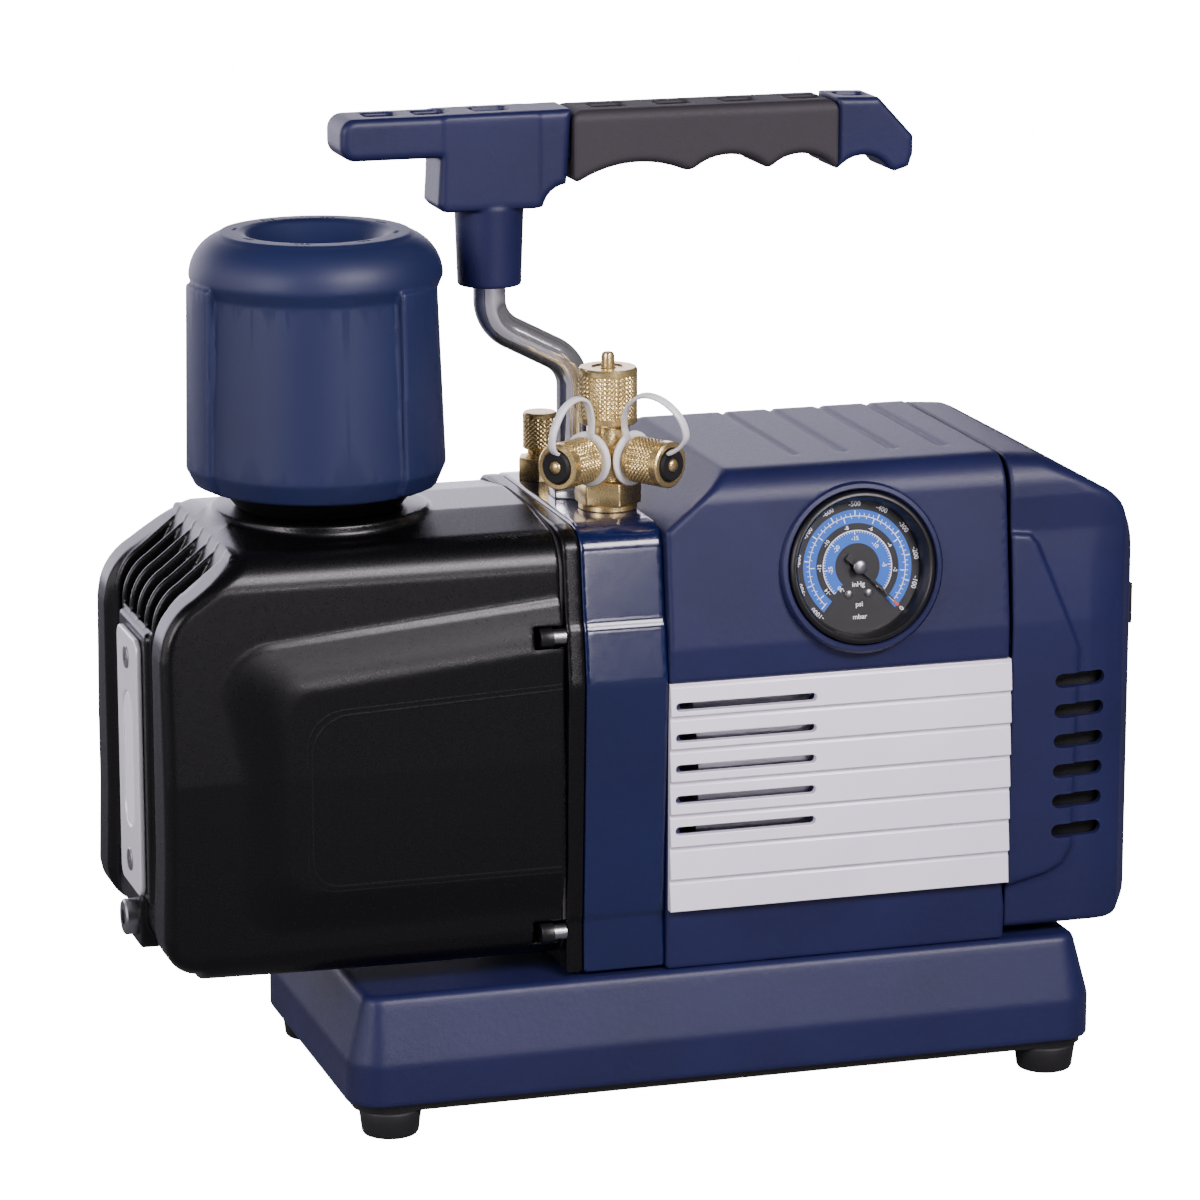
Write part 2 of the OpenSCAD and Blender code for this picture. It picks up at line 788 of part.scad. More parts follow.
module ballast_knob() {
  color(brass) translate([ballast_x, ballast_y, ring_top_z]) difference() {
    union() {
      translate([0, 0, 10.5]) cylinder(h = 13, r = 5.95);
      translate([0, 0, 8.4]) cylinder(h = 2.2, r = 4.5);
    }
    translate([0, 0, 8]) cylinder(h = 8.4, r = 3 + running_gap);
  }
}

// ---------- Motor ----------

function shell_section(inset = 0) =
  body_outline(57.2, 58, 60.8, 55.6, base_top_z, 66, 160, shell_top_z, 13, inset);

module shell_form(x0, x1, inset, z0) {
  intersection() {
    along_x(x0, x1) polygon(shell_section(inset));
    along_y(-70, 70) polygon([[x0, z0], [x1, z0], [x1, shell_top_z - inset], [slope_x1, shell_top_z - inset],
      [motor_x0, slope_z0 - inset], [x0, slope_z0 - inset]]);
  }
}

module gauge_frame() {
  translate([gauge_x, gauge_y, gauge_z]) rotate([90 - gauge_lean, 0, 0]) children();
}

module motor_shell() {
  color(navy) difference() {
    union() {
      difference() {
        shell_form(motor_x0, motor_x1, 0, base_top_z);
        shell_form(motor_x0 + shell_wall, motor_x1 + 1, shell_wall, base_top_z - 1);
        translate([motor_x0, -70, 0]) cube([motor_x1, 140, base_top_z]);
      }
      // The walls behind the side panels are stepped inwards
      both_sides() translate([motor_x0, -panel_back_y, panel_z0 - 4])
        cube([motor_x1 - motor_x0, shell_wall, panel_z1 - panel_z0 + 8]);
    }
    on_shaft() rod_x(motor_x0 - 1, motor_x0 + shell_wall + 1, 42);
    both_sides() translate([motor_x0 - 1, -70, panel_z0])
      cube([motor_x1 - motor_x0 + 2, 70 - panel_back_y, panel_z1 - panel_z0]);
    both_sides() for (z = slot_zs)
      slot_y(panel_slot_x[0] + 2, panel_slot_x[1], z, 4, -62, -50);
    gauge_frame() translate([0, 0, -gauge_depth]) cylinder(h = gauge_depth + 10, r = gauge_r + clear);
    for (x = top_groove_xs) translate([x - 0.8, -30, shell_top_z - 1]) cube([1.6, 60, 3]);
  }
}

module side_panels() {
  rib_h = (panel_z1 - panel_z0) / rib_count;
  color(silver) both_sides() difference() {
    along_x(motor_x0, motor_x1) polygon(concat(
      [[-panel_back_y, panel_z1], [-panel_back_y, panel_z0]],
      [for (i = [0:rib_count - 1]) for (j = [0, 1])
        j == 0 ? [-panel_y - 0.4, panel_z0 + rib_h * i] : [-panel_y + 0.9, panel_z0 + rib_h * (i + 1) - 1.4]]));
    for (z = slot_zs) slot_y(panel_slot_x[0], panel_slot_x[1], z, panel_slot_h, -64, -50);
  }
}

module motor_frame() {
  color(silver) on_shaft() difference() {
    rod_x(motor_frame_x[0], motor_frame_x[1], frame_r);
    rod_x(motor_frame_x[0] - 1, motor_frame_x[1] + 1, stator_r);
  }
}

module end_bells() {
  color(silver) on_shaft() for (x = [motor_frame_x[0] - bell_t, motor_frame_x[1]]) difference() {
    rod_x(x, x + bell_t, frame_r);
    rod_x(x - 1, x + bell_t + 1, bearing_r);
  }
}

module motor_cradle() {
  color(silver) difference() {
    translate([34, -34, base_top_z]) cube([64, 68, 22]);
    on_shaft() rod_x(30, 110, frame_r);
    at_base_screws() translate([0, 0, base_top_z - 1]) cylinder(h = 8, r = 2.5);
  }
}

module stator_core() {
  color(steel) on_shaft() difference() {
    rod_x(stack_x[0], stack_x[1], stator_r);
    rod_x(stack_x[0] - 1, stack_x[1] + 1, rotor_core_r + 0.5);
  }
}

module windings() {
  color(copper) on_shaft() for (x = [stack_x[0] - 14, stack_x[1]]) difference() {
    rod_x(x, x + 14, 44);
    rod_x(x - 1, x + 15, 31);
  }
}

module motor_rotor() {
  color(steel) on_shaft() difference() {
    rod_x(stack_x[0] - 4, stack_x[1] + 4, rotor_core_r);
    rod_x(stack_x[0] - 5, stack_x[1] + 5, shaft_r);
  }
}

module motor_shaft() {
  color(steel) on_shaft() rod_x(-9, 146, shaft_r);
}

module bearings() {
  color(steel) on_shaft() for (x = [motor_frame_x[0] - bell_t, motor_frame_x[1]]) difference() {
    rod_x(x, x + bell_t, bearing_r);
    rod_x(x - 1, x + bell_t + 1, shaft_r + running_gap);
  }
}

module capacitor() {
  color(soft_black) difference() {
    translate([0, capacitor_y, 0]) {
      translate([0, 0, capacitor_z]) rod_x(46, 100, capacitor_r);
      translate([60, -9, capacitor_z - capacitor_r - 8]) cube([26, 18, capacitor_r]);
    }
    on_shaft() rod_x(40, 110, frame_r);
  }
}

module coupling_hubs() {
  color(steel) on_shaft() for (x = [[-22, -12], [-6, 4]]) difference() {
    rod_x(x[0], x[1], 20);
    rod_x(x[0] - 1, x[1] + 1, shaft_r);
  }
}

module coupling_spider() {
  color(soft_black) on_shaft() difference() {
    rod_x(-12, -6, 19);
    rod_x(-13, -5, shaft_r);
  }
}

// ---------- Pump ----------

module shaft_seal() {
  color(soft_black) on_shaft() difference() {
    rod_x(flange_x0, flange_x1, 14);
    rod_x(flange_x0 - 1, flange_x1 + 1, shaft_r + running_gap);
  }
}

module pump_slab(xs) {
  translate([xs[0], -block_half, block_bottom])
    cube([xs[1] - xs[0], 2 * block_half, block_top - block_bottom]);
}

module stage_block(xs) {
  difference() {
    pump_slab(xs);
    translate([0, 0, chamber_z]) rod_x(xs[0] - 1, xs[1] + 1, chamber_r);
    translate([(xs[0] + xs[1]) / 2, 0, chamber_z + chamber_r - 6]) cylinder(h = 30, r = 3);
  }
}

module pump_stators() {
  color(steel) {
    stage_block(stage1);
    stage_block(stage2);
  }
}

module pump_plates() {
  color(steel) difference() {
    for (xs = [middle, end_plate]) pump_slab(xs);
    on_shaft() rod_x(end_plate[0] + 3, middle[1] + 1, shaft_r + running_gap);
  }
}

module pump_shaft() {
  color(steel) on_shaft() rod_x(end_plate[0] + 3.3, -9 - clear, shaft_r);
}

module stage_rotor(xs) {
  on_shaft() difference() {
    rod_x(xs[0] + stage_gap, xs[1] - stage_gap, rotor_r);
    rod_x(xs[0] - 1, xs[1] + 1, shaft_r);
    for (side = [0, 180]) rotate([side, 0, 0]) translate([xs[0] - 1, -slot_w / 2, shaft_r + 1])
      cube([xs[1] - xs[0] + 2, slot_w, rotor_r]);
  }
}

module pump_rotors() {
  color(steel) {
    stage_rotor(stage1);
    stage_rotor(stage2);
  }
}

// Both vanes of a stage slide together across the rotor
module stage_vanes(xs) {
  on_shaft() for (side = [0, 180]) rotate([side, 0, 0])
    translate([xs[0] + 2 * stage_gap, -vane_t / 2, shaft_r + 1 + rotor_offset + clear])
      cube([xs[1] - xs[0] - 4 * stage_gap, vane_t, vane_out - shaft_r - 1 - rotor_offset - clear]);
}

module first_vanes() {
  color(tank_black) stage_vanes(stage1);
}

module second_vanes() {
  color(tank_black) stage_vanes(stage2);
}

module discharge_valve() {
  color(steel) translate([valve_x, 0, block_top]) cylinder(h = 1, r = valve_r);
}

module valve_guard() {
  color(steel) translate([valve_x, 0, 0]) difference() {
    translate([-9, -16, block_top]) cube([18, 32, 8]);
    translate([-10, -8, block_top - 1]) cube([20, 16, 6]);
  }
}

// ---------- Gauge ----------

module gauge_case() {
  color(soft_black) gauge_frame() difference() {
    union() {
      translate([0, 0, -gauge_depth]) cylinder(h = gauge_depth + bezel_lip, r = gauge_r);
      translate([0, 0, -gauge_depth - 10]) cylinder(h = 12, r = 5);
    }
    translate([0, 0, -6]) cylinder(h = 20, r = gauge_r - 2.2);
  }
}

module gauge_dial() {
  color(soft_black) gauge_frame() {
    translate([0, 0, -6]) cylinder(h = 1, r = gauge_r - 2.2);
    translate([0, 0, -5]) cylinder(h = 3, r = pin_r);
  }
}

// The needle turns about the dial's centre and rests at the scale's zero, at the lower right
module gauge_needle() {
  color(silver) gauge_frame() rotate([0, 0, zero_turn]) translate([0, 0, -4]) difference() {
    union() {
      cylinder(h = 1.5, r = 2.2);
      translate([-5, -0.6, 0.3]) cube([needle_length + 5, 1.2, 0.6]);
    }
    translate([0, 0, -1]) cylinder(h = 4, r = pin_r + running_gap);
  }
}

module gauge_glass() {
  color([0.8, 0.9, 1, 0.3]) gauge_frame() translate([0, 0, -1]) cylinder(h = 1.5, r = gauge_r - 2.2);
}

// ---------- Fan cover ----------

function cover_profile(inset) = concat(
  [[motor_x1, base_top_z + 2 + inset], [cover_x1 - 14, base_top_z + 2 + inset]],
  arc([cover_x1 - 12, base_top_z + 14], 12 - inset, -90, 0, 5),
  [[cover_x1 - inset, 150]],
  arc([cover_x1 - 26, 180], 26 - inset, 0, 65, 5),
  [[motor_x1 + 13, shell_top_z - 2 - inset], [motor_x1, shell_top_z - inset]]);

// The rear corners are cut back, so the cover narrows towards its end
module cover_plan(inset) {
  linear_extrude(230) polygon([[motor_x1 - 1, -62 + inset], [cover_x1 - 20, -61 + inset],
    [cover_x1 - 6, -55 + inset], [cover_x1, -47 + inset], [cover_x1, 47 - inset],
    [cover_x1 - 6, 55 - inset], [cover_x1 - 20, 61 - inset], [motor_x1 - 1, 62 - inset]]);
}

module cover_form(inset, x0) {
  intersection() {
    along_x(x0, cover_x1 - inset) polygon(shell_section(inset));
    along_y(-70, 70) polygon(cover_profile(inset));
    cover_plan(inset);
  }
}

module fan_cover() {
  color(navy) difference() {
    cover_form(0, motor_x1);
    cover_form(shell_wall, motor_x1);
    both_sides() for (z = cover_slot_zs) slot_y(cover_slot_x[0], cover_slot_x[1], z, cover_slot_h, -70, -40);
    for (i = [-3.5:3.5]) on_shaft() {
      z = grille_step * i;
      half = sqrt(grille_r * grille_r - z * z);
      translate([cover_x1 - 6, -half, z - grille_slot_h / 2]) cube([10, 2 * half, grille_slot_h]);
    }
    translate([cover_x1 - 6, inlet_y - 13, inlet_z - 10]) cube([10, 26, 20]);
    translate([cover_x1 - 6, rocker_y - 14, inlet_z - 6]) cube([10, 28, 12]);
  }
}

module cooling_fan() {
  blade_reach = 48;
  color(soft_black) on_shaft() difference() {
    union() {
      rod_x(128, 142, 16);
      for (i = [0:blade_count - 1]) rotate([i * 360 / blade_count, 0, 0])
        translate([135, 0, 0]) rotate([0, 0, 35]) translate([-6.5, -1, 14]) cube([13, 2, blade_reach - 14]);
    }
    rod_x(120, 150, shaft_r);
  }
}

module mains_inlet() {
  color(soft_black) translate([0, inlet_y, inlet_z]) difference() {
    union() {
      translate([cover_x1, -15.5, -12]) cube([half_length - cover_x1, 31, 24]);
      translate([cover_x1 - 20, -13 + 0.1, -10 + 0.1]) cube([20, 25.8, 19.8]);
    }
    translate([cover_x1 - 15, -11, -8]) cube([20, 22, 16]);
  }
  color(steel) translate([0, inlet_y, inlet_z]) for (y = [-7, 0, 7])
    translate([cover_x1 - 15, y - 1, y == 0 ? -1 : -4]) cube([13, 2, 4]);
}

module rocker_housing() {
  color(soft_black) translate([0, rocker_y, inlet_z]) difference() {
    union() {
      translate([cover_x1, -15.5, -7]) cube([1.2, 31, 14]);
      translate([cover_x1 - 14, -14, -6]) cube([14, 28, 12]);
    }
    translate([cover_x1 - 11, -13, -5]) cube([20, 26, 10]);
    translate([rocker_pivot_x, 0, -5.6]) cylinder(h = 11.2, r = 1.2);
  }
}

// The rocker is drawn in its off position, and tips the other way when it is switched on
module rocker() {
  color(soft_black) translate([rocker_pivot_x, rocker_y, inlet_z]) rotate([0, 0, -rocker_tilt]) {
    difference() {
      translate([-4, -12, -4.7]) cube([rocker_top, 24, 9.4]);
      translate([22, 0, -5]) cylinder(h = 10, r = 16.8);
    }
    translate([0, 0, -5.5]) cylinder(h = 11, r = 1.15);
  }
}

base_plinth();
base_pan();
rubber_feet();
base_screws();
oil_tank();
tank_gasket();
mounting_flange();
bracket_ring();
tank_screws();
sight_frame();
sight_window();
sight_screws();
drain_plug();
filter_cap();
filter_base();
filter_element();
filter_seal();
handle_tube();
handle_body();
handle_grip();
handle_nut();
manifold();
top_cap();
left_cap();
right_cap();
left_strap();
right_strap();
ballast_valve();
ballast_knob();
motor_shell();
side_panels();
motor_frame();
end_bells();
motor_cradle();
stator_core();
windings();
motor_rotor();
motor_shaft();
bearings();
capacitor();
coupling_hubs();
coupling_spider();
shaft_seal();
pump_stators();
pump_plates();
pump_shaft();
pump_rotors();
first_vanes();
second_vanes();
discharge_valve();
valve_guard();
gauge_case();
gauge_dial();
gauge_needle();
gauge_glass();
fan_cover();
cooling_fan();
mains_inlet();
rocker_housing();
rocker();
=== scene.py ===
"""Look of the rotary vane vacuum pump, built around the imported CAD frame.

Shapes are given in millimetres in the CAD frame and made in metres.
"""

import math

import bpy
import numpy as np
from mathutils import Matrix, Vector


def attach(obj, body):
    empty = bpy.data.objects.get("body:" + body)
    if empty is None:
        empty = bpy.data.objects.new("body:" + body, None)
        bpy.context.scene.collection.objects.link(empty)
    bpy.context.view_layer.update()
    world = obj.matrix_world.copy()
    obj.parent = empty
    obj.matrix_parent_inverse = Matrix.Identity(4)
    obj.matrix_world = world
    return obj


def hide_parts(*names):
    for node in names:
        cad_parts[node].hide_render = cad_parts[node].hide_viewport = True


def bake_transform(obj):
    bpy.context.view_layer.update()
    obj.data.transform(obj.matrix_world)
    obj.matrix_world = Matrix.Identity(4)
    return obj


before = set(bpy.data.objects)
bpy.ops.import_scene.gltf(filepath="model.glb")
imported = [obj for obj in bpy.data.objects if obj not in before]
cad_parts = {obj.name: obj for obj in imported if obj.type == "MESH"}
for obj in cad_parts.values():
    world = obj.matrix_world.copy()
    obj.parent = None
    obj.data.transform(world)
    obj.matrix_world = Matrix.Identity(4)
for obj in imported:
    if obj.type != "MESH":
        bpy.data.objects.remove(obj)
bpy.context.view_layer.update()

MM = 0.001
scene = bpy.context.scene


# ---------- Camera, floor and light ----------

MIDDLE = (0, 0, 0.16)
WARM = (1.0, 0.93, 1.0)


def aim(obj, target):
    way = Vector(target) - obj.location
    obj.rotation_euler = way.to_track_quat("-Z", "Y").to_euler()


cam = bpy.data.objects.new("camera", bpy.data.cameras.new("camera"))
scene.collection.objects.link(cam)
cam.data.lens = 155.46
cam.data.sensor_width = 36
cam.location = (-0.5076, -1.6429, 0.5784)
PITCH, YAW = math.radians(-13.57), math.radians(17)
aim(cam, cam.location + Vector((math.sin(YAW) * math.cos(PITCH), math.cos(YAW) * math.cos(PITCH),
                                math.sin(PITCH))))
scene.camera = cam


def softbox(name, place, width, height, watts, target=MIDDLE, tint=WARM):
    lamp = bpy.data.lights.new(name, "AREA")
    lamp.shape = "RECTANGLE"
    lamp.size, lamp.size_y = width, height
    lamp.energy = watts
    lamp.color = tint
    obj = bpy.data.objects.new(name, lamp)
    scene.collection.objects.link(obj)
    obj.location = place
    aim(obj, target)


softbox("front_light", (0.6, -1.55, 1.3), 1.0, 0.6, 56)
softbox("low_light", (0.3, -1.95, 0.4), 0.5, 0.14, 6)
softbox("key_light", (-1.2, -0.8, 0.7), 0.4, 0.7, 13)
softbox("side_card", (-1.6, 0, 0.6), 1.2, 1.2, 11)
softbox("backdrop_light", (-0.3, 1.5, 0.45), 2.4, 0.9, 24, (0, 0, 0.2), (0.96, 0.91, 1.1))


def own_nodes(owner, *kinds):
    """Give a world or material these nodes alone."""
    owner.use_nodes = True
    owner.node_tree.nodes.clear()
    return [owner.node_tree.nodes.new(kind) for kind in kinds]


def wire(owner, *pairs):
    for source, target in pairs:
        owner.node_tree.links.new(source, target)


def world_light():
    """White where the camera sees it, and a faint cool light on everything else."""
    world = bpy.data.worlds.new("studio")
    scene.world = world
    out, mix, seen, cast, path = own_nodes(
        world, "ShaderNodeOutputWorld", "ShaderNodeMixShader", "ShaderNodeBackground",
        "ShaderNodeBackground", "ShaderNodeLightPath")
    seen.inputs["Color"].default_value = (1, 1, 1, 1)
    seen.inputs["Strength"].default_value = 12.0
    cast.inputs["Color"].default_value = (0.93, 0.95, 1, 1)
    cast.inputs["Strength"].default_value = 0.06
    wire(world, (path.outputs["Is Camera Ray"], mix.inputs[0]), (cast.outputs[0], mix.inputs[1]),
         (seen.outputs[0], mix.inputs[2]), (mix.outputs[0], out.inputs[0]))


world_light()


# ---------- Materials ----------

def srgb(r, g, b):
    def linear(c):
        c /= 255
        return c / 12.92 if c <= 0.04045 else ((c + 0.055) / 1.055) ** 2.4
    return (linear(r), linear(g), linear(b), 1.0)


class Recipe:
    """A material's node tree, with short ways to add and join nodes."""

    def __init__(self, name):
        self.material = bpy.data.materials.new(name)
        self.material.use_nodes = True
        self.tree = self.material.node_tree
        self.shader = self.tree.nodes["Principled BSDF"]
        self.place = self.tree.nodes.new("ShaderNodeTexCoord").outputs["Object"]

    def add(self, kind, sockets=(), **settings):
        node = self.tree.nodes.new(kind)
        for key, value in settings.items():
            setattr(node, key, value)
        for socket, value in dict(sockets).items():
            self.feed(node, socket, value)
        return node

    def feed(self, node, socket, value):
        if isinstance(value, bpy.types.NodeSocket):
            self.tree.links.new(value, node.inputs[socket])
        else:
            node.inputs[socket].default_value = value

    def stretched(self, x, y, z):
        return self.add("ShaderNodeMapping", {"Vector": self.place, "Scale": (x, y, z)}).outputs[0]

    def noise(self, scale, detail=2.0, rough=0.5, where=None):
        return self.add("ShaderNodeTexNoise", {"Vector": where or self.place, "Scale": scale,
                                               "Detail": detail, "Roughness": rough}).outputs["Fac"]

    def span(self, value, low, high, start=0.3, end=0.7):
        return self.add("ShaderNodeMapRange", {"Value": value, "From Min": start, "From Max": end,
                                               "To Min": low, "To Max": high}).outputs[0]

    def blend(self, amount, first, second):
        return self.add("ShaderNodeMix", {0: amount, 6: first, 7: second}, data_type="RGBA").outputs[2]

    def bump(self, height, distance, below=None):
        sockets = {"Height": height, "Distance": distance, "Strength": 1.0}
        if below is not None:
            sockets["Normal"] = below
        return self.add("ShaderNodeBump", sockets).outputs[0]

    def drive(self, socket, value):
        self.feed(self.shader, socket, value)


def scaled(colour, factor, lift=0.0):
    return tuple(min(1, c * factor + lift) for c in colour[:3]) + (1.0,)


def finish_of(name, colour, rough, metal=0.0, grain=0.5, relief=0.02, cloud=0.15, spread=0.05,
              stretch=(1, 1, 1), edge_highlight=0.0, **values):
    """A finish with soft clouds of colour and roughness, and a fine grain of size grain (mm)."""
    r = Recipe(name)
    where = r.stretched(*stretch)
    plain = srgb(*colour)
    tone = r.blend(r.span(r.noise(22, 4.0), 0, 1), scaled(plain, 1 - cloud), scaled(plain, 1 + cloud))
    # Sharp convex edges are lightened: a painted highlight where edges catch the light
    if edge_highlight:
        edge = r.span(r.add("ShaderNodeNewGeometry").outputs["Pointiness"], 0, edge_highlight, 0.52, 0.6)
        tone = r.blend(edge, tone, scaled(plain, 1.7, 0.03))
    r.drive("Base Color", tone)
    fine = r.noise(1 / (grain * MM), 2.0, 0.6, where)
    r.drive("Roughness", r.span(fine, rough - spread, rough + spread))
    r.drive("Metallic", metal)
    coarse = r.noise(0.18 / (grain * MM), 3.0, 0.5, where)
    r.drive("Normal", r.bump(fine, relief * MM, r.bump(coarse, relief * 1.5 * MM)))
    for key, value in values.items():
        r.drive(key.replace("_", " "), value)
    return r.material


# edge_highlight paints a highlight on the sharp edges of the navy and black finishes
NAVY = finish_of("navy_plastic", (20, 24, 62), 0.46, grain=0.45, relief=0.035, edge_highlight=0.2,
                 Specular_IOR_Level=0.38)
CAP_NAVY = finish_of("cap_plastic", (21, 30, 66), 0.5, grain=0.3, relief=0.012, cloud=0.08,
                     edge_highlight=0.15, Specular_IOR_Level=0.42)
GLOSS_NAVY = finish_of("gloss_navy", (8, 18, 58), 0.2, grain=1.1, relief=0.02, cloud=0.1,
                       Coat_Weight=0.5, Coat_Roughness=0.12)
CASTING = finish_of("black_casting", (4, 4, 5), 0.3, grain=0.5, relief=0.005, edge_highlight=0.2,
                    Specular_IOR_Level=0.3)
BLACK = finish_of("black_plastic", (10, 10, 11), 0.4, grain=0.4, relief=0.015)
RUBBER = finish_of("rubber", (40, 36, 41), 0.68, grain=0.4, relief=0.04, cloud=0.1)
FOOT_RUBBER = finish_of("foot_rubber", (13, 13, 15), 0.62, grain=0.5, relief=0.03)
STEEL = finish_of("machined_steel", (150, 150, 152), 0.34, 1.0, grain=0.3, relief=0.006,
                  stretch=(5, 1, 1))
IRON = finish_of("ground_iron", (96, 96, 99), 0.42, 1.0, grain=0.5, relief=0.012)
SILVER = finish_of("brushed_aluminium", (241, 237, 248), 0.46, 0.35, grain=0.35, relief=0.01,
                   cloud=0.04, stretch=(0.06, 1, 1))
SATIN = finish_of("satin_frame", (236, 236, 239), 0.4, 0.5, grain=0.3, relief=0.006, cloud=0.03,
                  stretch=(1, 1, 0.1))
CHROME = finish_of("chrome", (240, 240, 243), 0.12, 0.92, grain=0.6, relief=0.001, cloud=0.03,
                   spread=0.03)
BRASS = finish_of("brass", (221, 196, 136), 0.29, 0.88, grain=0.3, relief=0.006, cloud=0.1,
                  spread=0.06)
COPPER = finish_of("copper_winding", (176, 98, 52), 0.35, 1.0, grain=0.8, relief=0.12,
                   stretch=(1, 0.15, 0.15))
PAPER = finish_of("filter_paper", (225, 220, 205), 0.85, grain=0.5, relief=0.08, cloud=0.06,
                  stretch=(1, 1, 0.1))
VANE = finish_of("vane_composite", (52, 38, 30), 0.5, grain=0.6, relief=0.01, stretch=(0.3, 1, 1))
NEEDLE = finish_of("needle_black", (18, 18, 20), 0.35, grain=0.3, relief=0.002)
MILKY = finish_of("milky_plastic", (233, 234, 236), 0.3, grain=0.9, relief=0.004, cloud=0.03,
                  Subsurface_Weight=0.35, Subsurface_Radius=(0.004, 0.004, 0.004),
                  Subsurface_Scale=1.0)
WINDOW = finish_of("window_plastic", (244, 244, 250), 0.22, grain=0.9, relief=0.003, cloud=0.02)
DIAL = finish_of("dial_black", (9, 9, 11), 0.5, grain=0.4, relief=0.003)
BLUE_PRINT = finish_of("print_blue", (22, 96, 196), 0.45, grain=0.4, relief=0.002, cloud=0.05)
WHITE_PRINT = finish_of("print_white", (240, 242, 245), 0.45, grain=0.4, relief=0.002, cloud=0.02)
RED_PRINT = finish_of("print_red", (205, 70, 40), 0.45, grain=0.4, relief=0.002, cloud=0.05)
# Black of the cap pads; on the sheets behind the fan cover's slots it is painted shade
DARK = finish_of("pad_black_and_slot_shade", (6, 6, 7), 0.7, grain=0.4, relief=0.01)


def clear_glass():
    """A clear pane: seen through straight on, with reflections at its edge angles."""
    m = bpy.data.materials.new("gauge_glass")
    out, mix, through, gloss, fresnel, noise, scale, weaker = own_nodes(
        m, "ShaderNodeOutputMaterial", "ShaderNodeMixShader", "ShaderNodeBsdfTransparent",
        "ShaderNodeBsdfGlossy", "ShaderNodeFresnel", "ShaderNodeTexNoise", "ShaderNodeMapRange",
        "ShaderNodeMath")
    weaker.operation = "MULTIPLY"
    weaker.inputs[1].default_value = 0.3
    fresnel.inputs["IOR"].default_value = 1.42
    noise.inputs["Scale"].default_value = 60
    scale.inputs["To Min"].default_value = 0.02
    scale.inputs["To Max"].default_value = 0.06
    wire(m, (noise.outputs["Fac"], scale.inputs["Value"]), (scale.outputs[0], gloss.inputs["Roughness"]),
         (fresnel.outputs[0], weaker.inputs[0]), (weaker.outputs[0], mix.inputs[0]),
         (through.outputs[0], mix.inputs[1]), (gloss.outputs[0], mix.inputs[2]),
         (mix.outputs[0], out.inputs["Surface"]))
    return m


GLASS = clear_glass()


def paper_floor():
    """Pale paper: it looks white, and throws only a little light back up at the object."""
    m = bpy.data.materials.new("floor_paper")
    out, mix, both, seen, cast, glow, path = own_nodes(
        m, "ShaderNodeOutputMaterial", "ShaderNodeMixShader", "ShaderNodeAddShader",
        "ShaderNodeBsdfDiffuse", "ShaderNodeBsdfDiffuse", "ShaderNodeEmission", "ShaderNodeLightPath")
    seen.inputs["Color"].default_value = (0.9, 0.9, 0.9, 1)
    cast.inputs["Color"].default_value = (0.2, 0.2, 0.21, 1)
    glow.inputs["Strength"].default_value = 16.0
    wire(m, (seen.outputs[0], both.inputs[0]), (glow.outputs[0], both.inputs[1]),
         (path.outputs["Is Camera Ray"], mix.inputs[0]), (cast.outputs[0], mix.inputs[1]),
         (both.outputs[0], mix.inputs[2]), (mix.outputs[0], out.inputs["Surface"]))
    return m


FLOOR = paper_floor()


# ---------- Mesh tools ----------

def mesh_of(name, verts, faces):
    mesh = bpy.data.meshes.new(name)
    mesh.from_pydata((np.asarray(verts, float) * MM).tolist(), [],
                     faces.tolist() if isinstance(faces, np.ndarray) else faces)
    mesh.validate()
    mesh.update()
    return mesh


def linked(name, mesh):
    obj = bpy.data.objects.new(name, mesh)
    scene.collection.objects.link(obj)
    return obj


def bake_modifiers(obj):
    graph = bpy.context.evaluated_depsgraph_get()
    made = bpy.data.meshes.new_from_object(obj.evaluated_get(graph))
    old = obj.data
    obj.modifiers.clear()
    obj.data = made
    bpy.data.meshes.remove(old)


def thin_out(obj, ratio):
    mod = obj.modifiers.new("thin", "DECIMATE")
    mod.ratio = ratio
    bake_modifiers(obj)


def shade(obj, angle=50):
    mesh = obj.data
    mesh.polygons.foreach_set("use_smooth", [True] * len(mesh.polygons))
    mesh.set_sharp_from_angle(angle=math.radians(angle))


def bevel(obj, width, angle=35):
    mod = obj.modifiers.new("bevel", "BEVEL")
    mod.width = width * MM
    mod.segments = 2
    mod.limit_method = "ANGLE"
    mod.angle_limit = math.radians(angle)


def carve(obj, cutters):
    """Cut the closed shapes (verts, faces) out of obj, all in one go."""
    verts, faces = merged(cutters)
    tool = linked("cutter", mesh_of("cutter", verts, faces))
    mod = obj.modifiers.new("cut", "BOOLEAN")
    mod.operation = "DIFFERENCE"
    mod.object = tool
    mod.solver = "EXACT"
    bake_modifiers(obj)
    bpy.data.objects.remove(tool)


def settle(obj, body, material, replaces=None, angle=50):
    obj.data.materials.clear()
    obj.data.materials.append(material)
    shade(obj, angle)
    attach(obj, body)
    if replaces:
        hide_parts(replaces)


def merged(shapes):
    """Join (verts, faces) shapes into one."""
    verts, faces, start = [], [], 0
    for v, f in shapes:
        v = np.asarray(v, float)
        verts.append(v)
        faces += [[i + start for i in face] for face in f]
        start += len(v)
    return np.concatenate(verts), faces


def placed(shape, matrix):
    verts, faces = shape
    m = np.array(matrix)
    return np.asarray(verts, float) @ m[:3, :3].T + m[:3, 3], faces


def move(x, y, z):
    return Matrix.Translation((x, y, z))


def turn(degrees, axis):
    return Matrix.Rotation(math.radians(degrees), 4, axis)


ALONG_X = turn(90, "Y")


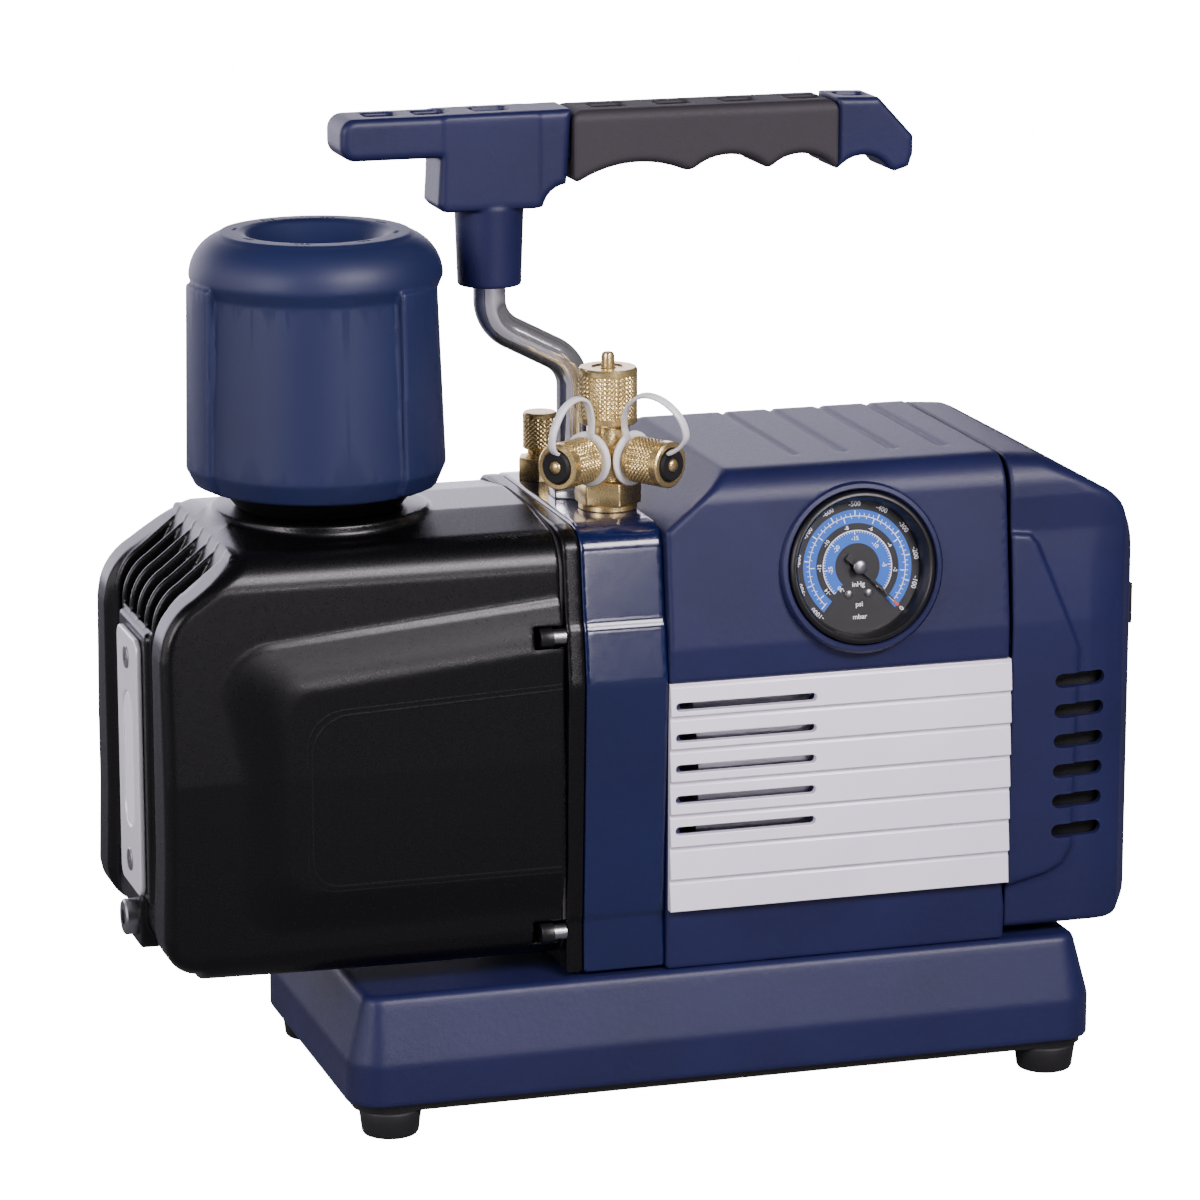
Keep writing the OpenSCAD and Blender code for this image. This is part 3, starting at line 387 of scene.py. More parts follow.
def lathe(profile, count=64, ripple=None):
    """Turn (radius, height) points about Z. ripple(angle, row) changes a point's radius."""
    verts, faces, rings = [], [], []
    for r, z in profile:
        if r < 1e-6:
            rings.append([len(verts)])
            verts.append((0, 0, z))
            continue
        rings.append(range(len(verts), len(verts) + count))
        for i in range(count):
            a = 2 * math.pi * i / count
            rr = r + (ripple(a, z) if ripple else 0)
            verts.append((rr * math.cos(a), rr * math.sin(a), z))
    for low, high in zip(rings, rings[1:]):
        for i in range(count):
            j = (i + 1) % count
            if len(low) == 1:
                faces.append([low[0], high[i], high[j]][::-1])
            elif len(high) == 1:
                faces.append([low[i], low[j], high[0]])
            else:
                faces.append([low[i], low[j], high[j], high[i]])
    return verts, faces


def prism(outline, z0, z1):
    """A straight prism of a counter-clockwise outline in XY."""
    n = len(outline)
    verts = [(x, y, z) for z in (z0, z1) for x, y in outline]
    faces = [list(range(n))[::-1], list(range(n, 2 * n))]
    faces += [[i, (i + 1) % n, (i + 1) % n + n, i + n] for i in range(n)]
    return verts, faces


def polygon(sides, across_flats, spin=0.0):
    r = across_flats / 2 / math.cos(math.pi / sides)
    return [(r * math.cos(math.radians(spin) + 2 * math.pi * i / sides),
             r * math.sin(math.radians(spin) + 2 * math.pi * i / sides)) for i in range(sides)]


def arc(centre, r, a0, a1, n=16):
    return [(centre[0] + r * math.cos(math.radians(a0 + (a1 - a0) * k / n)),
             centre[1] + r * math.sin(math.radians(a0 + (a1 - a0) * k / n))) for k in range(n + 1)]


def slot_outline(u0, u1, v, h):
    """A lying slot with round ends, centred on height v."""
    r = h / 2
    return arc((u1 - r, v), r, -90, 90, 8) + arc((u0 + r, v), r, 90, 270, 8)


def prism_y(outline, y0, y1):
    """A prism of an (x, z) outline, from y0 to y1."""
    verts, faces = prism(outline, -y1, -y0)
    return [(x, -d, z) for x, z, d in verts], faces


def side_slots(heights, x0, x1, h, near, far):
    """Cutters for slots in both side walls, from near to far from the middle plane."""
    return [prism_y(slot_outline(x0, x1, z, h), *ys) for z in heights for ys in ((-far, -near), (near, far))]


def mirrored(half):
    return half + [(-u, v) for u, v in reversed(half)]


def sweep(path, section, up=None):
    """Carry a closed section (across, up) along a path of points. up keeps a flat band level."""
    pts = [Vector(p) for p in path]
    verts, faces = [], []
    side_before = None
    for i, p in enumerate(pts):
        way = (pts[min(i + 1, len(pts) - 1)] - pts[max(i - 1, 0)]).normalized()
        if up is not None:
            side = Vector(up)
        elif side_before is None:
            side = way.orthogonal()
        else:
            side = side_before
        side = (side - way * side.dot(way)).normalized()
        side_before = side
        top = way.cross(side)
        verts += [tuple(p + side * a + top * b) for a, b in section]
    n = len(section)
    for i in range(len(pts) - 1):
        for j in range(n):
            k = (j + 1) % n
            faces.append([i * n + j, i * n + k, (i + 1) * n + k, (i + 1) * n + j])
    faces += [list(range(n))[::-1], list(range(len(verts) - n, len(verts)))]
    return verts, faces


def piece(name, shape, body, material, replaces=None, angle=50, soften=0.0):
    obj = linked(name, mesh_of(name, *shape))
    if soften:
        bevel(obj, soften)
        bake_modifiers(obj)
    settle(obj, body, material, replaces, angle)


# ---------- Rounded solids from distance functions ----------

def poly2(u, v, points):
    """Signed distance to a closed polygon, negative inside."""
    pts = np.asarray(points, float)
    near, inside = np.inf, False
    for a, b in zip(pts, np.roll(pts, -1, axis=0)):
        e = b - a
        if not e.any():
            continue
        pu, pv = u - a[0], v - a[1]
        t = np.clip((pu * e[0] + pv * e[1]) / (e @ e), 0, 1)
        near = np.minimum(near, (pu - e[0] * t) ** 2 + (pv - e[1] * t) ** 2)
        if e[1]:
            crosses = (a[1] <= v) != (b[1] <= v)
            inside = inside ^ (crosses & (pu < pv * e[0] / e[1]))
    return np.where(inside, -1.0, 1.0) * np.sqrt(near)


def rrect(u, v, u0, u1, v0, v1, r):
    qu = np.abs(u - (u0 + u1) / 2) - (u1 - u0) / 2 + r
    qv = np.abs(v - (v0 + v1) / 2) - (v1 - v0) / 2 + r
    return np.hypot(np.maximum(qu, 0), np.maximum(qv, 0)) + np.minimum(np.maximum(qu, qv), 0) - r


def meet(a, b, r=0.0):
    """What two shapes share, with an edge of radius r."""
    if not r:
        return np.maximum(a, b)
    return np.minimum(np.maximum(a, b), -r) + np.hypot(np.maximum(a + r, 0), np.maximum(b + r, 0))


def join(a, b, r=0.0):
    return -meet(-a, -b, r)


def cut(a, b, r=0.0):
    return meet(a, -b, r)


def slab(t, low, high):
    return np.maximum(low - t, t - high)


def solid(f, lo, hi, step):
    """Quads of the surface where f is zero, with its points moved onto it."""
    axes = [np.arange(a - 1.6 * step, b + 2.6 * step, step) for a, b in zip(lo, hi)]
    x, y, z = np.meshgrid(*axes, indexing="ij", sparse=True)
    v = np.broadcast_to(f(x, y, z), [len(a) for a in axes]).astype(np.float32)
    s = v < 0
    corners = [np.array((i, j, k)) for i in (0, 1) for j in (0, 1) for k in (0, 1)]
    n = np.array(v.shape) - 1
    count = sum(s[i:i + n[0], j:j + n[1], k:k + n[2]].astype(np.int8) for i, j, k in corners)
    cells = np.argwhere((count > 0) & (count < 8))
    index = np.full(n, -1)
    index[tuple(cells.T)] = np.arange(len(cells))
    total, hits = np.zeros((len(cells), 3)), np.zeros(len(cells))
    for a in corners:
        for k in range(3):
            if a[k]:
                continue
            b = a.copy()
            b[k] = 1
            va, vb = v[tuple((cells + a).T)], v[tuple((cells + b).T)]
            on = (va < 0) != (vb < 0)
            t = np.where(on, va / np.where(on, va - vb, 1), 0)
            total += np.where(on[:, None], a + t[:, None] * (b - a), 0)
            hits += on
    p = np.array([a[0] for a in axes]) + (cells + total / hits[:, None]) * step
    faces = []
    for k in range(3):
        i, j = (k + 1) % 3, (k + 2) % 3
        low = np.take(s, range(0, s.shape[k] - 1), k)
        high = np.take(s, range(1, s.shape[k]), k)
        e = np.argwhere(low != high)
        e = e[(e[:, i] > 0) & (e[:, j] > 0) & (e[:, i] < n[i]) & (e[:, j] < n[j])]
        di, dj = np.eye(3, dtype=int)[i], np.eye(3, dtype=int)[j]
        q = np.stack([index[tuple((e - d).T)] for d in (0 * di, di, di + dj, dj)], 1)
        inner = low[tuple(e.T)]
        q[~inner] = q[~inner][:, ::-1]
        faces.append(q)
    corners4 = np.array([(1, 1, 1), (1, -1, -1), (-1, 1, -1), (-1, -1, 1)], float)
    h = step * 0.3
    for _ in range(2):
        values = [f(*(p + c * h).T) for c in corners4]
        slope = sum(c[None, :] * val[:, None] for c, val in zip(corners4, values)) / (4 * h)
        value = sum(values) / 4
        move_by = value / np.maximum((slope ** 2).sum(1), 0.05)
        p -= np.clip(move_by[:, None] * slope, -0.5 * step, 0.5 * step)
    return p, np.concatenate(faces)


def solid_piece(name, f, lo, hi, step, body, material, replaces, keep=0.4, cutters=None):
    obj = linked(name, mesh_of(name, *solid(f, lo, hi, step)))
    thin_out(obj, keep)
    if cutters:
        carve(obj, cutters)
    settle(obj, body, material, replaces)


# ---------- Base ----------

BASE_X0, BASE_X1, BASE_HALF = -110, 154, 65
BASE_Z0, BASE_TOP, BASE_WALL = 12, 48.5, 3
FOOT_XS, FOOT_Y = (-95, 139), 54


def base(x, y, z):
    d = rrect(x, y, BASE_X0, BASE_X1, -BASE_HALF, BASE_HALF, 12)
    slant = 5.8 * np.clip((z - 26.5) / 22, 0, 1.2)
    outer = meet(meet((d + slant) * 0.967, z - BASE_TOP, 2.2), BASE_Z0 - z, 0.8)
    inner = meet((d + BASE_WALL + slant) * 0.967, z - BASE_TOP + BASE_WALL, 2)
    return cut(outer, inner, 0.4)


solid_piece("base_cover", base, (BASE_X0, -BASE_HALF, BASE_Z0), (BASE_X1, BASE_HALF, BASE_TOP), 1.1, "body",
            NAVY, "base_plinth", keep=0.35)

feet = lathe([(0, 0.6), (5, 0.6), (5.6, 0), (8.2, 0), (9.1, 0.35), (9.6, 1.2), (10.2, 6), (10.6, 8.6),
              (10.4, 9.2), (9.8, 9.5), (0, 9.5)], 48)
piece("feet", merged([placed(feet, move(x, y, 0)) for x in FOOT_XS for y in (-FOOT_Y, FOOT_Y)]),
      "body", FOOT_RUBBER, "rubber_feet")


# ---------- Oil tank ----------

TANK_SECTION = mirrored(arc((43, 67), 12, -90, -5) + [(55.6, 125)] + arc((38, 185.5), 14, 8, 84)
                        + [(15, 202.6)])
TANK_PROFILE = ([(-20, 49.5), (-158, 56)] + arc((-157, 69), 10, -100, -175) + [(-166, 100), (-166, 150)]
                + arc((-148, 170), 18, 180, 122) + [(-143, 197), (-139, 204), (-20, 207.2)])
GROOVES, BAY_HALF, GROOVE_DEPTH, FIN = 6, 35, 9, 2.2
PITCH_Y = 2 * BAY_HALF / GROOVES
SCREW_Y, SCREW_ZS = 54.6, (64.5, 166)
FILTER_X = -103.5
DRAIN_Z = 66


def tank(x, y, z):
    y = np.abs(y)
    side = poly2(y, z, TANK_SECTION)
    # The flanks beside the cooling bay stand further forward than the bay itself
    forward = np.clip((y - 35.5) / 2.5, 0, 1) * np.clip((190 - z) / 24, 0, 1) * np.clip((z - 58) / 14, 0, 1)
    along = poly2(x + 3.4 * forward, z, TANK_PROFILE)
    outer = meet(side, along, 4)
    t = np.clip((y - 53.5) / 4.1, 0, 1.3)
    rise = 0.09 * (x + 147) * np.clip((z - 100) / 60, 0, 1)
    panel = rrect(x, z - rise, -147 + 15 * t, 20, 72 + 12 * t, 166 - 12 * t, 14 - 3 * t)
    outer = join(outer, meet(panel, y - 57.6, 1.6), 4.0)
    lip = np.hypot(x + 142.6, z - 196.6) - 1.5
    outer = join(outer, meet(lip, y - 43, 1.0), 1.0)
    boss = np.hypot(x - FILTER_X, y) - 36
    outer = join(outer, meet(boss, slab(z, 190, 204), 1.0), 2.5)
    sight = meet(rrect(y, z, -21, 21, 75, 168, 2.5), slab(x, -168, -150), 1.2)
    drain = meet(rrect(y, z, -10, 10, 57, 76, 2.5), slab(x, -169, -150), 1.2)
    outer = join(join(outer, sight, 1.0), drain, 1.0)
    # Fins are drafted, and the grooves run out to nothing at the crest
    fin = FIN + 0.17 * np.clip(-along, 0, GROOVE_DEPTH)
    groove = np.abs(np.mod(y + BAY_HALF, PITCH_Y) - PITCH_Y / 2) - (PITCH_Y - fin) / 2
    groove = meet(meet(groove, -along - GROOVE_DEPTH, 1.5), y - BAY_HALF, 0.5)
    groove = np.maximum(groove, 0.75 * (x + 144.5) - along)
    groove = meet(groove, 81 - z, 1.0)
    groove = cut(groove, np.maximum(y - 22, z - 169), 1.0)
    outer = cut(outer, groove, 0.7)
    bay_back = np.maximum(np.maximum(y - 38, 75 - z), -along - 12.5)
    inner = cut(meet(side + 3.5, along + 3.5, 2), np.maximum(bay_back, x + 139), 1.0)
    inner = join(inner, np.maximum(np.hypot(x - FILTER_X, y) - 15, 180 - z))
    inner = join(inner, np.maximum(np.hypot(y, z - DRAIN_Z) - 5.5, x + 146))
    outer = cut(outer, inner, 0.3)
    for zs in SCREW_ZS:
        outer = cut(outer, np.maximum(np.hypot(y - SCREW_Y, z - zs) - 3.9, -45 - x), 0.6)
    return meet(outer, x + 35, 0.8)


solid_piece("tank_casting", tank, (-170, -58, 49), (-35, 58, 205), 0.8, "body", CASTING, "oil_tank",
            keep=0.4)

# A thin double line frames the flat panel on each side of the tank
badge = ([(-36, 88), (-112, 88)] + arc((-112, 97), 9, -90, -180, 6) + [(-121, 130)]
         + arc((-108, 133), 13, 180, 90, 6) + [(-36, 149)])
lines = []
for grow, size in ((0, 0.42), (1.7, 0.3)):
    bead = [(size * math.cos(k * math.pi / 3), size * math.sin(k * math.pi / 3)) for k in range(6)]
    for side in (-1, 1):
        lines.append(sweep([(u - grow if u < -40 else u, side * 57.62, v + (grow if v > 110 else -grow))
                            for u, v in badge], bead))
piece("tank_badge_lines", merged(lines), "body", CASTING)



def at_tank_screws(profile, x):
    return merged([placed(lathe(profile, 24), move(x, side * SCREW_Y, z) @ ALONG_X)
                   for side in (-1, 1) for z in SCREW_ZS])


piece("tank_screw_heads",
      at_tank_screws([(0, 2.4), (1.5, 2.4), (1.5, 0), (3.1, 0), (3.4, 0.35), (3.4, 4.4), (0, 4.4)], -43),
      "body", BLACK, "tank_screws")
piece("tank_screw_shanks", at_tank_screws([(0, 0), (2.7, 0), (2.7, 4.4), (0, 4.4)], -38.6), "body", STEEL)


# ---------- Sight glass and drain ----------

SIGHT_X0, SIGHT_X1 = -170, -168
SIGHT_BAR_X0 = -169.6


def sight_plate(x, y, z):
    plate = meet(rrect(y, z, -15.5, 15.5, 76.5, 164.5, 4.5), slab(x, SIGHT_X0, SIGHT_X1), 0.55)
    return cut(plate, rrect(y, z, -7.75, 7.75, 98, 144, 7.7), 0.7)


solid_piece("sight_plate", sight_plate, (SIGHT_X0, -15.5, 76.5), (SIGHT_X1, 15.5, 164.5), 0.4, "body",
            SATIN, "sight_frame", keep=0.5)


def glass_bar(x, y, z):
    return meet(rrect(y, z, -7.6, 7.6, 98.1, 143.9, 7.5), slab(x, SIGHT_BAR_X0, SIGHT_X1), 0.6)


solid_piece("sight_bar", glass_bar, (SIGHT_BAR_X0, -7.6, 98), (SIGHT_X1, 7.6, 144), 0.4, "body", WINDOW,
            "sight_window", keep=0.5)


def socket_screws(name, head, places, body, replaces, extra=()):
    """Flat round heads that face the tank's end, each with a hexagon socket.

    head is (radius, height, socket across its flats, socket depth, chamfer)."""
    r, h, hexagon, depth, chamfer = head
    turned = lathe([(0, 0), (r - chamfer, 0), (r, chamfer), (r, h), (0, h)], 40)
    frames = [move(*place) @ ALONG_X for place in places]
    obj = linked(name, mesh_of(name, *merged([placed(turned, at) for at in frames] + list(extra))))
    carve(obj, [placed(prism(polygon(6, hexagon), -1, depth), at) for at in frames])
    settle(obj, body, STEEL, replaces, 30)


socket_screws("sight_screw_heads", (3.9, 0.9, 2.6, 0.7, 0.25), [(-170.5, 0, z) for z in (86, 156)], "body",
              "sight_screws")
drain_thread = lathe([(0, 0), (5.4, 0), (5.4, 10), (4.6, 11), (0, 11)], 40)
socket_screws("drain_screw", (6.1, 4, 5, 2.6, 0.6), [(-173, 0, DRAIN_Z)], "drain", "drain_plug",
              [placed(drain_thread, move(-169, 0, DRAIN_Z) @ ALONG_X)])


# ---------- Ring between tank and motor ----------

def outline(foot_w, low_w, mid_w, shoulder_w, z0, low_z, mid_z, top_z, r):
    """A housing's section: half widths from its foot up, and shoulders of radius r."""
    return mirrored([(foot_w, z0), (low_w, low_z), (mid_w, mid_z)]
                    + arc((shoulder_w - r, top_z - r), r, 12, 90))


FLANGE_X0, RING_X0, MOTOR_X0 = -34, -28, 0.5
SHAFT_Z, BORE_R = 112, 42
RING_SECTION = outline(56.5, 56.2, 59.5, 53.5, 49, 70, 150, 201, 9)


def ring_band(x, y, z, x0, x1, shrink):
    y = np.abs(y)
    side = poly2(y, z, RING_SECTION) + shrink
    side = side + 0.9 * np.clip((z - 168) / 2, 0, 1) * np.clip((y - 40) / 8, 0, 1)
    side = side + 0.7 * np.clip((69.5 - z) / 1.5, 0, 1)
    return meet(side, slab(x, x0, x1), 0.9)


def ring(x, y, z):
    return cut(ring_band(x, y, z, RING_X0, MOTOR_X0, 0), np.hypot(y, z - SHAFT_Z) - BORE_R, 0.5)


def flange(x, y, z):
    return cut(ring_band(x, y, z, FLANGE_X0, RING_X0 - 0.1, 0.3), np.hypot(y, z - SHAFT_Z) - 14, 0.3)


solid_piece("ring_casting", ring, (RING_X0, -60, 49), (MOTOR_X0, 60, 201), 0.8, "body", GLOSS_NAVY,
            "bracket_ring", keep=0.4)
solid_piece("flange_casting", flange, (FLANGE_X0, -60, 49), (RING_X0, 60, 201), 0.9, "body", CASTING,
            "mounting_flange", keep=0.4)


# ---------- Exhaust filter ----------

CAP_OUTLINE = ([(-9, 281.5), (33.5, 281.5), (33.5, 219.5), (35.5, 219.5), (35.5, 211.5), (39.6, 211.5),
                (42.6, 218.5), (40.2, 277)]
               + arc((27.6, 281.5), 14.5, 0, 70, 12) + [(31.5, 296), (25.4, 296), (24.4, 295.6)]
               + arc((0, 314), 30, -38.5, -90, 12) + [(-9, 284)])
LOBE_OUTLINE = [(37, 212.5), (41.6, 212.5), (44.6, 218.5), (43.6, 280), (37, 283)]
LOBE_TURNS = (-51, 69, 189)


def cap(x, y, z):
    x = x - FILTER_X
    r = np.hypot(x, y)
    a = np.degrees(np.arctan2(y, x))
    f = poly2(r, z, CAP_OUTLINE)
    lobe = poly2(r, z, LOBE_OUTLINE)
    off = np.min([np.abs(np.mod(a - t + 180, 360) - 180) for t in LOBE_TURNS], axis=0)
    lobe = meet(lobe, (off - 12.4) * np.radians(1) * r, 0.7)
    return join(f, lobe, 0.6)


vents = []
for k in range(8):
    for offset in (-3.9, 0, 3.9):
        a = math.radians(45 * k + 22 + offset)
        vents.append(placed(prism(polygon(12, 1.6), 290, 300),
                            move(FILTER_X + 27 * math.cos(a), 27 * math.sin(a), 0)))
solid_piece("filter_shell", cap, (FILTER_X - 45, -45, 211), (FILTER_X + 45, 45, 296), 0.9, "filter",
            CAP_NAVY, "filter_cap", keep=0.4, cutters=vents)

collar = lathe([(15, 194.5), (15, 204), (27.2, 204), (27.9, 204.5), (33.4, 211), (34, 213), (34, 218.6),
                (33.6, 219), (11, 219), (11, 280), (8, 280), (8, 194.5), (15, 194.5)], 72)
piece("filter_collar", placed(collar, move(FILTER_X, 0, 0)), "filter", BLACK, "filter_base",
      40)


# ---------- Handle ----------

TOP = 334
SLEEVE_X = -43.98
CORE_HALF, CORE_Z0, CORE_Z1 = 8, TOP - 17, TOP - 4
TUBE_R = 5.45
BODY_OUTLINE = (arc((-92, TOP - 9.5), 5, -180, -90, 8)
                + [(-63, TOP - 14.5), (-64, 303.5), (-62, 301.5), (-28, 301.5)]
                + arc((-19, 300), 9, 170, 95, 6) + [(-18, TOP), (-62, TOP - 0.5)]
                + arc((-92, TOP - 5.5), 5, 90, 180, 8))
END_OUTLINE = ([(75, TOP - 24.5)] + arc((84.5, TOP - 31), 11, 128, 33, 8)
               + [(96, TOP - 26), (101, TOP - 24.5), (102.5, TOP - 20), (102.5, TOP - 14), (90, TOP - 0.5),
                  (75, TOP)])
GRIP_HOLLOWS = ((5, TOP - 18.7, 40.7), (36.5, TOP - 17.5, 19.4), (62, TOP - 18.3, 15.4))


def hollows(x, y, z, places):
    """Shallow rounded pockets in the handle's top, each from u0 to u1."""
    found = np.inf
    for u0, u1 in places:
        found = np.minimum(found, meet(rrect(x, y, u0, u1, -4.5, 4.5, 1.8), TOP - 1.5 - z))
    return found


def handle(x, y, z):
    y = np.abs(y)
    arm = meet(poly2(x, z, BODY_OUTLINE), y - 11, 2.6)
    block = meet(rrect(x, z, -62.6, -29, 301.5, 333.4, 2), y - 11, 1.2)
    f = join(arm, block, 1.0)
    r = np.hypot(x - SLEEVE_X, y)
    f = join(f, meet(r - 10.7 - 0.034 * (z - 275), slab(z, 275, 302.4), 0.8), 0.4)
    core = meet(slab(x, -20, 77), np.maximum(y - CORE_HALF, slab(z, CORE_Z0, CORE_Z1)), 0.6)
    end = meet(poly2(x, z, END_OUTLINE), y - 11, 2.2)
    f = np.minimum(np.minimum(f, core), end)
    f = cut(f, hollows(x, y, z, ((-87, -76), (-70, -59), (-50, -38), (78, 88))), 0.4)
    return cut(f, np.maximum(r - TUBE_R, z - 322))


solid_piece("handle_frame", handle, (-97, -12, 275), (103, 12, 334), 0.7, "body", NAVY, "handle_body",
            keep=0.4)


def grip(x, y, z):
    y = np.abs(y)
    f = meet(meet(slab(x, -18, 75), y - 12.4, 1.0), z - (TOP - 0.5), 3.6)
    f = meet(f, TOP - 27 - z, 4.5)
    for u, high, r in GRIP_HOLLOWS:
        f = cut(f, np.hypot(x - u, z - high + r) - r, 2.6)
    f = cut(f, hollows(x, y, z, ((-9, 3), (14, 26), (37, 49), (60, 72))), 0.4)
    return cut(f, np.maximum(y - CORE_HALF, slab(z, CORE_Z0, CORE_Z1)))


solid_piece("grip_sleeve", grip, (-18, -12.5, 307), (75, 12.5, 333.5), 0.7, "body", RUBBER,
            "handle_grip", keep=0.45)

TUBE_X, BEND_Z = -15, 239.1
BEND_R, BEND = 13, math.radians(62.65)


def tube_path():
    """The tube's middle line: up, over two bends with a short straight between them, and up."""
    points = [(TUBE_X, 0, z) for z in (182, 215, BEND_Z)]
    foot = Vector((TUBE_X, 0, BEND_Z))
    centre = foot + Vector((-BEND_R, 0, 0))
    steps = 14
    points += [tuple(centre + BEND_R * Vector((math.cos(BEND * k / steps), 0, math.sin(BEND * k / steps))))
               for k in range(1, steps + 1)]
    knee = Vector(points[-1]) + 16.8 * Vector((-math.sin(BEND), 0, math.cos(BEND)))
    centre = knee + BEND_R * Vector((math.cos(BEND), 0, math.sin(BEND)))
    points += [tuple(centre - BEND_R * Vector((math.cos(BEND * (1 - k / steps)), 0,
                                               math.sin(BEND * (1 - k / steps)))))
               for k in range(steps + 1)]
    x, z = points[-1][0], points[-1][2]
    return points + [(x, 0, z + d) for d in (12, 24, 36, 48)]


circle = [(TUBE_R * math.cos(k * math.pi / 20), TUBE_R * math.sin(k * math.pi / 20)) for k in range(40)]
piece("tube", sweep(tube_path(), circle, up=(0, 1, 0)), "body", CHROME, "handle_tube")
nut = prism(polygon(6, 15, 30), 201, 207)
piece("tube_nut", placed(nut, move(TUBE_X, 0, 0)), "body", CHROME, "handle_nut", soften=0.5)


# ---------- Brass manifold, caps and ballast valve ----------

MX, MY, PORT_Z = -9, -21, 219.3
TURNS = {"right": -59, "left": -144}


def port(side):
    return move(MX, MY, PORT_Z) @ turn(TURNS[side], "Z") @ ALONG_X


KNURL_PITCH, KNURL_DEPTH = 1.5, 0.36


def ridge(t):
    return abs(2 * (t - math.floor(t)) - 1)


def knurl(count, low, high):
    """Diamond knurling between two heights."""
    def ripple(a, z):
        if z < low or z > high:
            return 0.0
        u, v = a * count / (2 * math.pi), z / KNURL_PITCH
        return -KNURL_DEPTH * (1 - min(1.0, 1.6 * min(ridge(u + v), ridge(u - v))))
    return ripple


def knurled(r, z0, z1, count, top, band=(1.2, 1.2), bottom=None):
    """A turned, knurled cap. top lists the points from its rim inwards, band what stays plain."""
    low, high = z0 + band[0], z1 - band[1]
    rows = int((high - low) / 0.3)
    profile = (bottom or [(0, z0), (r - 0.5, z0)]) + [(r, z0 + 0.45), (r, low - 0.1)]
    profile += [(r, low + (high - low) * k / rows) for k in range(rows + 1)]
    profile += [(r, high + 0.1)] + top
    return lathe(profile, count * 7, knurl(count, low, high))


brass_body = [placed(lathe(profile, 64), move(MX, MY, 0)) for profile in (
    [(0, 201), (9.6, 201), (9.9, 201.3), (9.9, 202.7), (9.5, 203), (0, 203)],
    [(0, 210), (7.2, 210), (7.2, 229), (6.7, 230), (6.7, 240), (0, 240)])]
for side in TURNS:
    brass_body.append(placed(lathe([(0, 3), (6.1, 3), (6.1, 9), (5.6, 9.6), (4.4, 10), (4.4, 13.2),
                                    (5.4, 13.6), (5.4, 19.6), (4.8, 20), (2.4, 20), (2.4, 14), (0, 14)], 48),
                             port(side)))
piece("manifold_body", merged(brass_body), "body", BRASS, "manifold", 40)
piece("manifold_hex", placed(prism(polygon(6, 19.8, 33.6), 203, 211), move(MX, MY, 0)), "body", BRASS,
      soften=0.6)

top_rim = [(9.9, 248.2), (9.3, 249), (5.6, 249), (5.2, 248.5), (2.8, 248.5), (2.25, 248.9), (2.25, 252.6),
           (1.9, 253.6), (1.2, 254), (0, 254)]
piece("top_cap_knurled", placed(knurled(9.9, 230, 248, 38, top_rim, (2.4, 1.4)), move(MX, MY, 0)), "top_cap",
      BRASS, "top_cap", 25)

for side in TURNS:
    rim = [(7.8, 27.7), (7.3, 28.1), (6.0, 28.1), (5.6, 27.7), (5.6, 26.6), (0, 26.6)]
    name = side + "_cap"
    piece(name + "_knurled", placed(knurled(7.8, 12.8, 28, 30, rim, (1.6, 3.2)), port(side)), name, BRASS,
          name, 25)
    plug = lathe([(0, 26.4), (5.5, 26.4), (5.5, 28.6), (5.0, 29.2), (2.6, 29.2), (2.4, 28.9), (2.4, 27.6),
                  (0, 27.6)], 40)
    piece(name + "_pad", placed(plug, port(side)), name, DARK)
    rivet = lathe([(0, 27.4), (2.3, 27.4), (2.3, 29.0), (1.8, 29.6), (0.9, 29.9), (0, 30)], 32)
    piece(name + "_rivet", placed(rivet, port(side)), name, BRASS)

BALLAST = move(-17.7, 30, 0)
spindle = lathe([(0, 208.6), (5.4, 208.6), (5.2, 209.4), (3.2, 209.6), (3.2, 216), (0, 216)], 40)
piece("ballast_hex", placed(merged([prism(polygon(6, 14, 10), 201, 208.6), spindle]), BALLAST), "body", BRASS,
      "ballast_valve", 40, soften=0.3)
knob_rim = [(5.95, 223.7), (5.4, 224.3), (2.2, 224.5), (0, 224.3)]
knob_foot = [(0, 209.8), (4.3, 209.8), (4.3, 211), (4.6, 211.4), (5.4, 211.5)]
piece("ballast_knob_knurled", placed(knurled(5.95, 211.5, 224, 22, knob_rim, (1.0, 1.4), knob_foot), BALLAST),
      "ballast", BRASS, "ballast_knob", 25)


# ---------- Retaining straps ----------

WASHER_AT, CAP_END = 11.0, 29.9


def smooth_curve(points, steps=6):
    """A smooth curve through points (Catmull-Rom)."""
    pts = [np.array(p, float) for p in points]
    pts = [2 * pts[0] - pts[1]] + pts + [2 * pts[-1] - pts[-2]]
    out = []
    for a, b, c, d in zip(pts, pts[1:], pts[2:], pts[3:]):
        for t in [k / steps for k in range(steps)]:
            out.append(0.5 * (2 * b + (c - a) * t + (2 * a - 5 * b + 4 * c - d) * t ** 2
                              + (3 * b - a - 3 * c + d) * t ** 3))
    return [tuple(p) for p in out + [pts[-2]]]


def washer(outer, inner, at, t):
    e = t * 0.45
    return lathe([(inner, at - t + e), (inner + e, at - t), (outer - e, at - t), (outer, at - t + e),
                  (outer, at + t - e), (outer - e, at + t), (inner + e, at + t), (inner, at + t - e),
                  (inner, at - t + e)], 48)


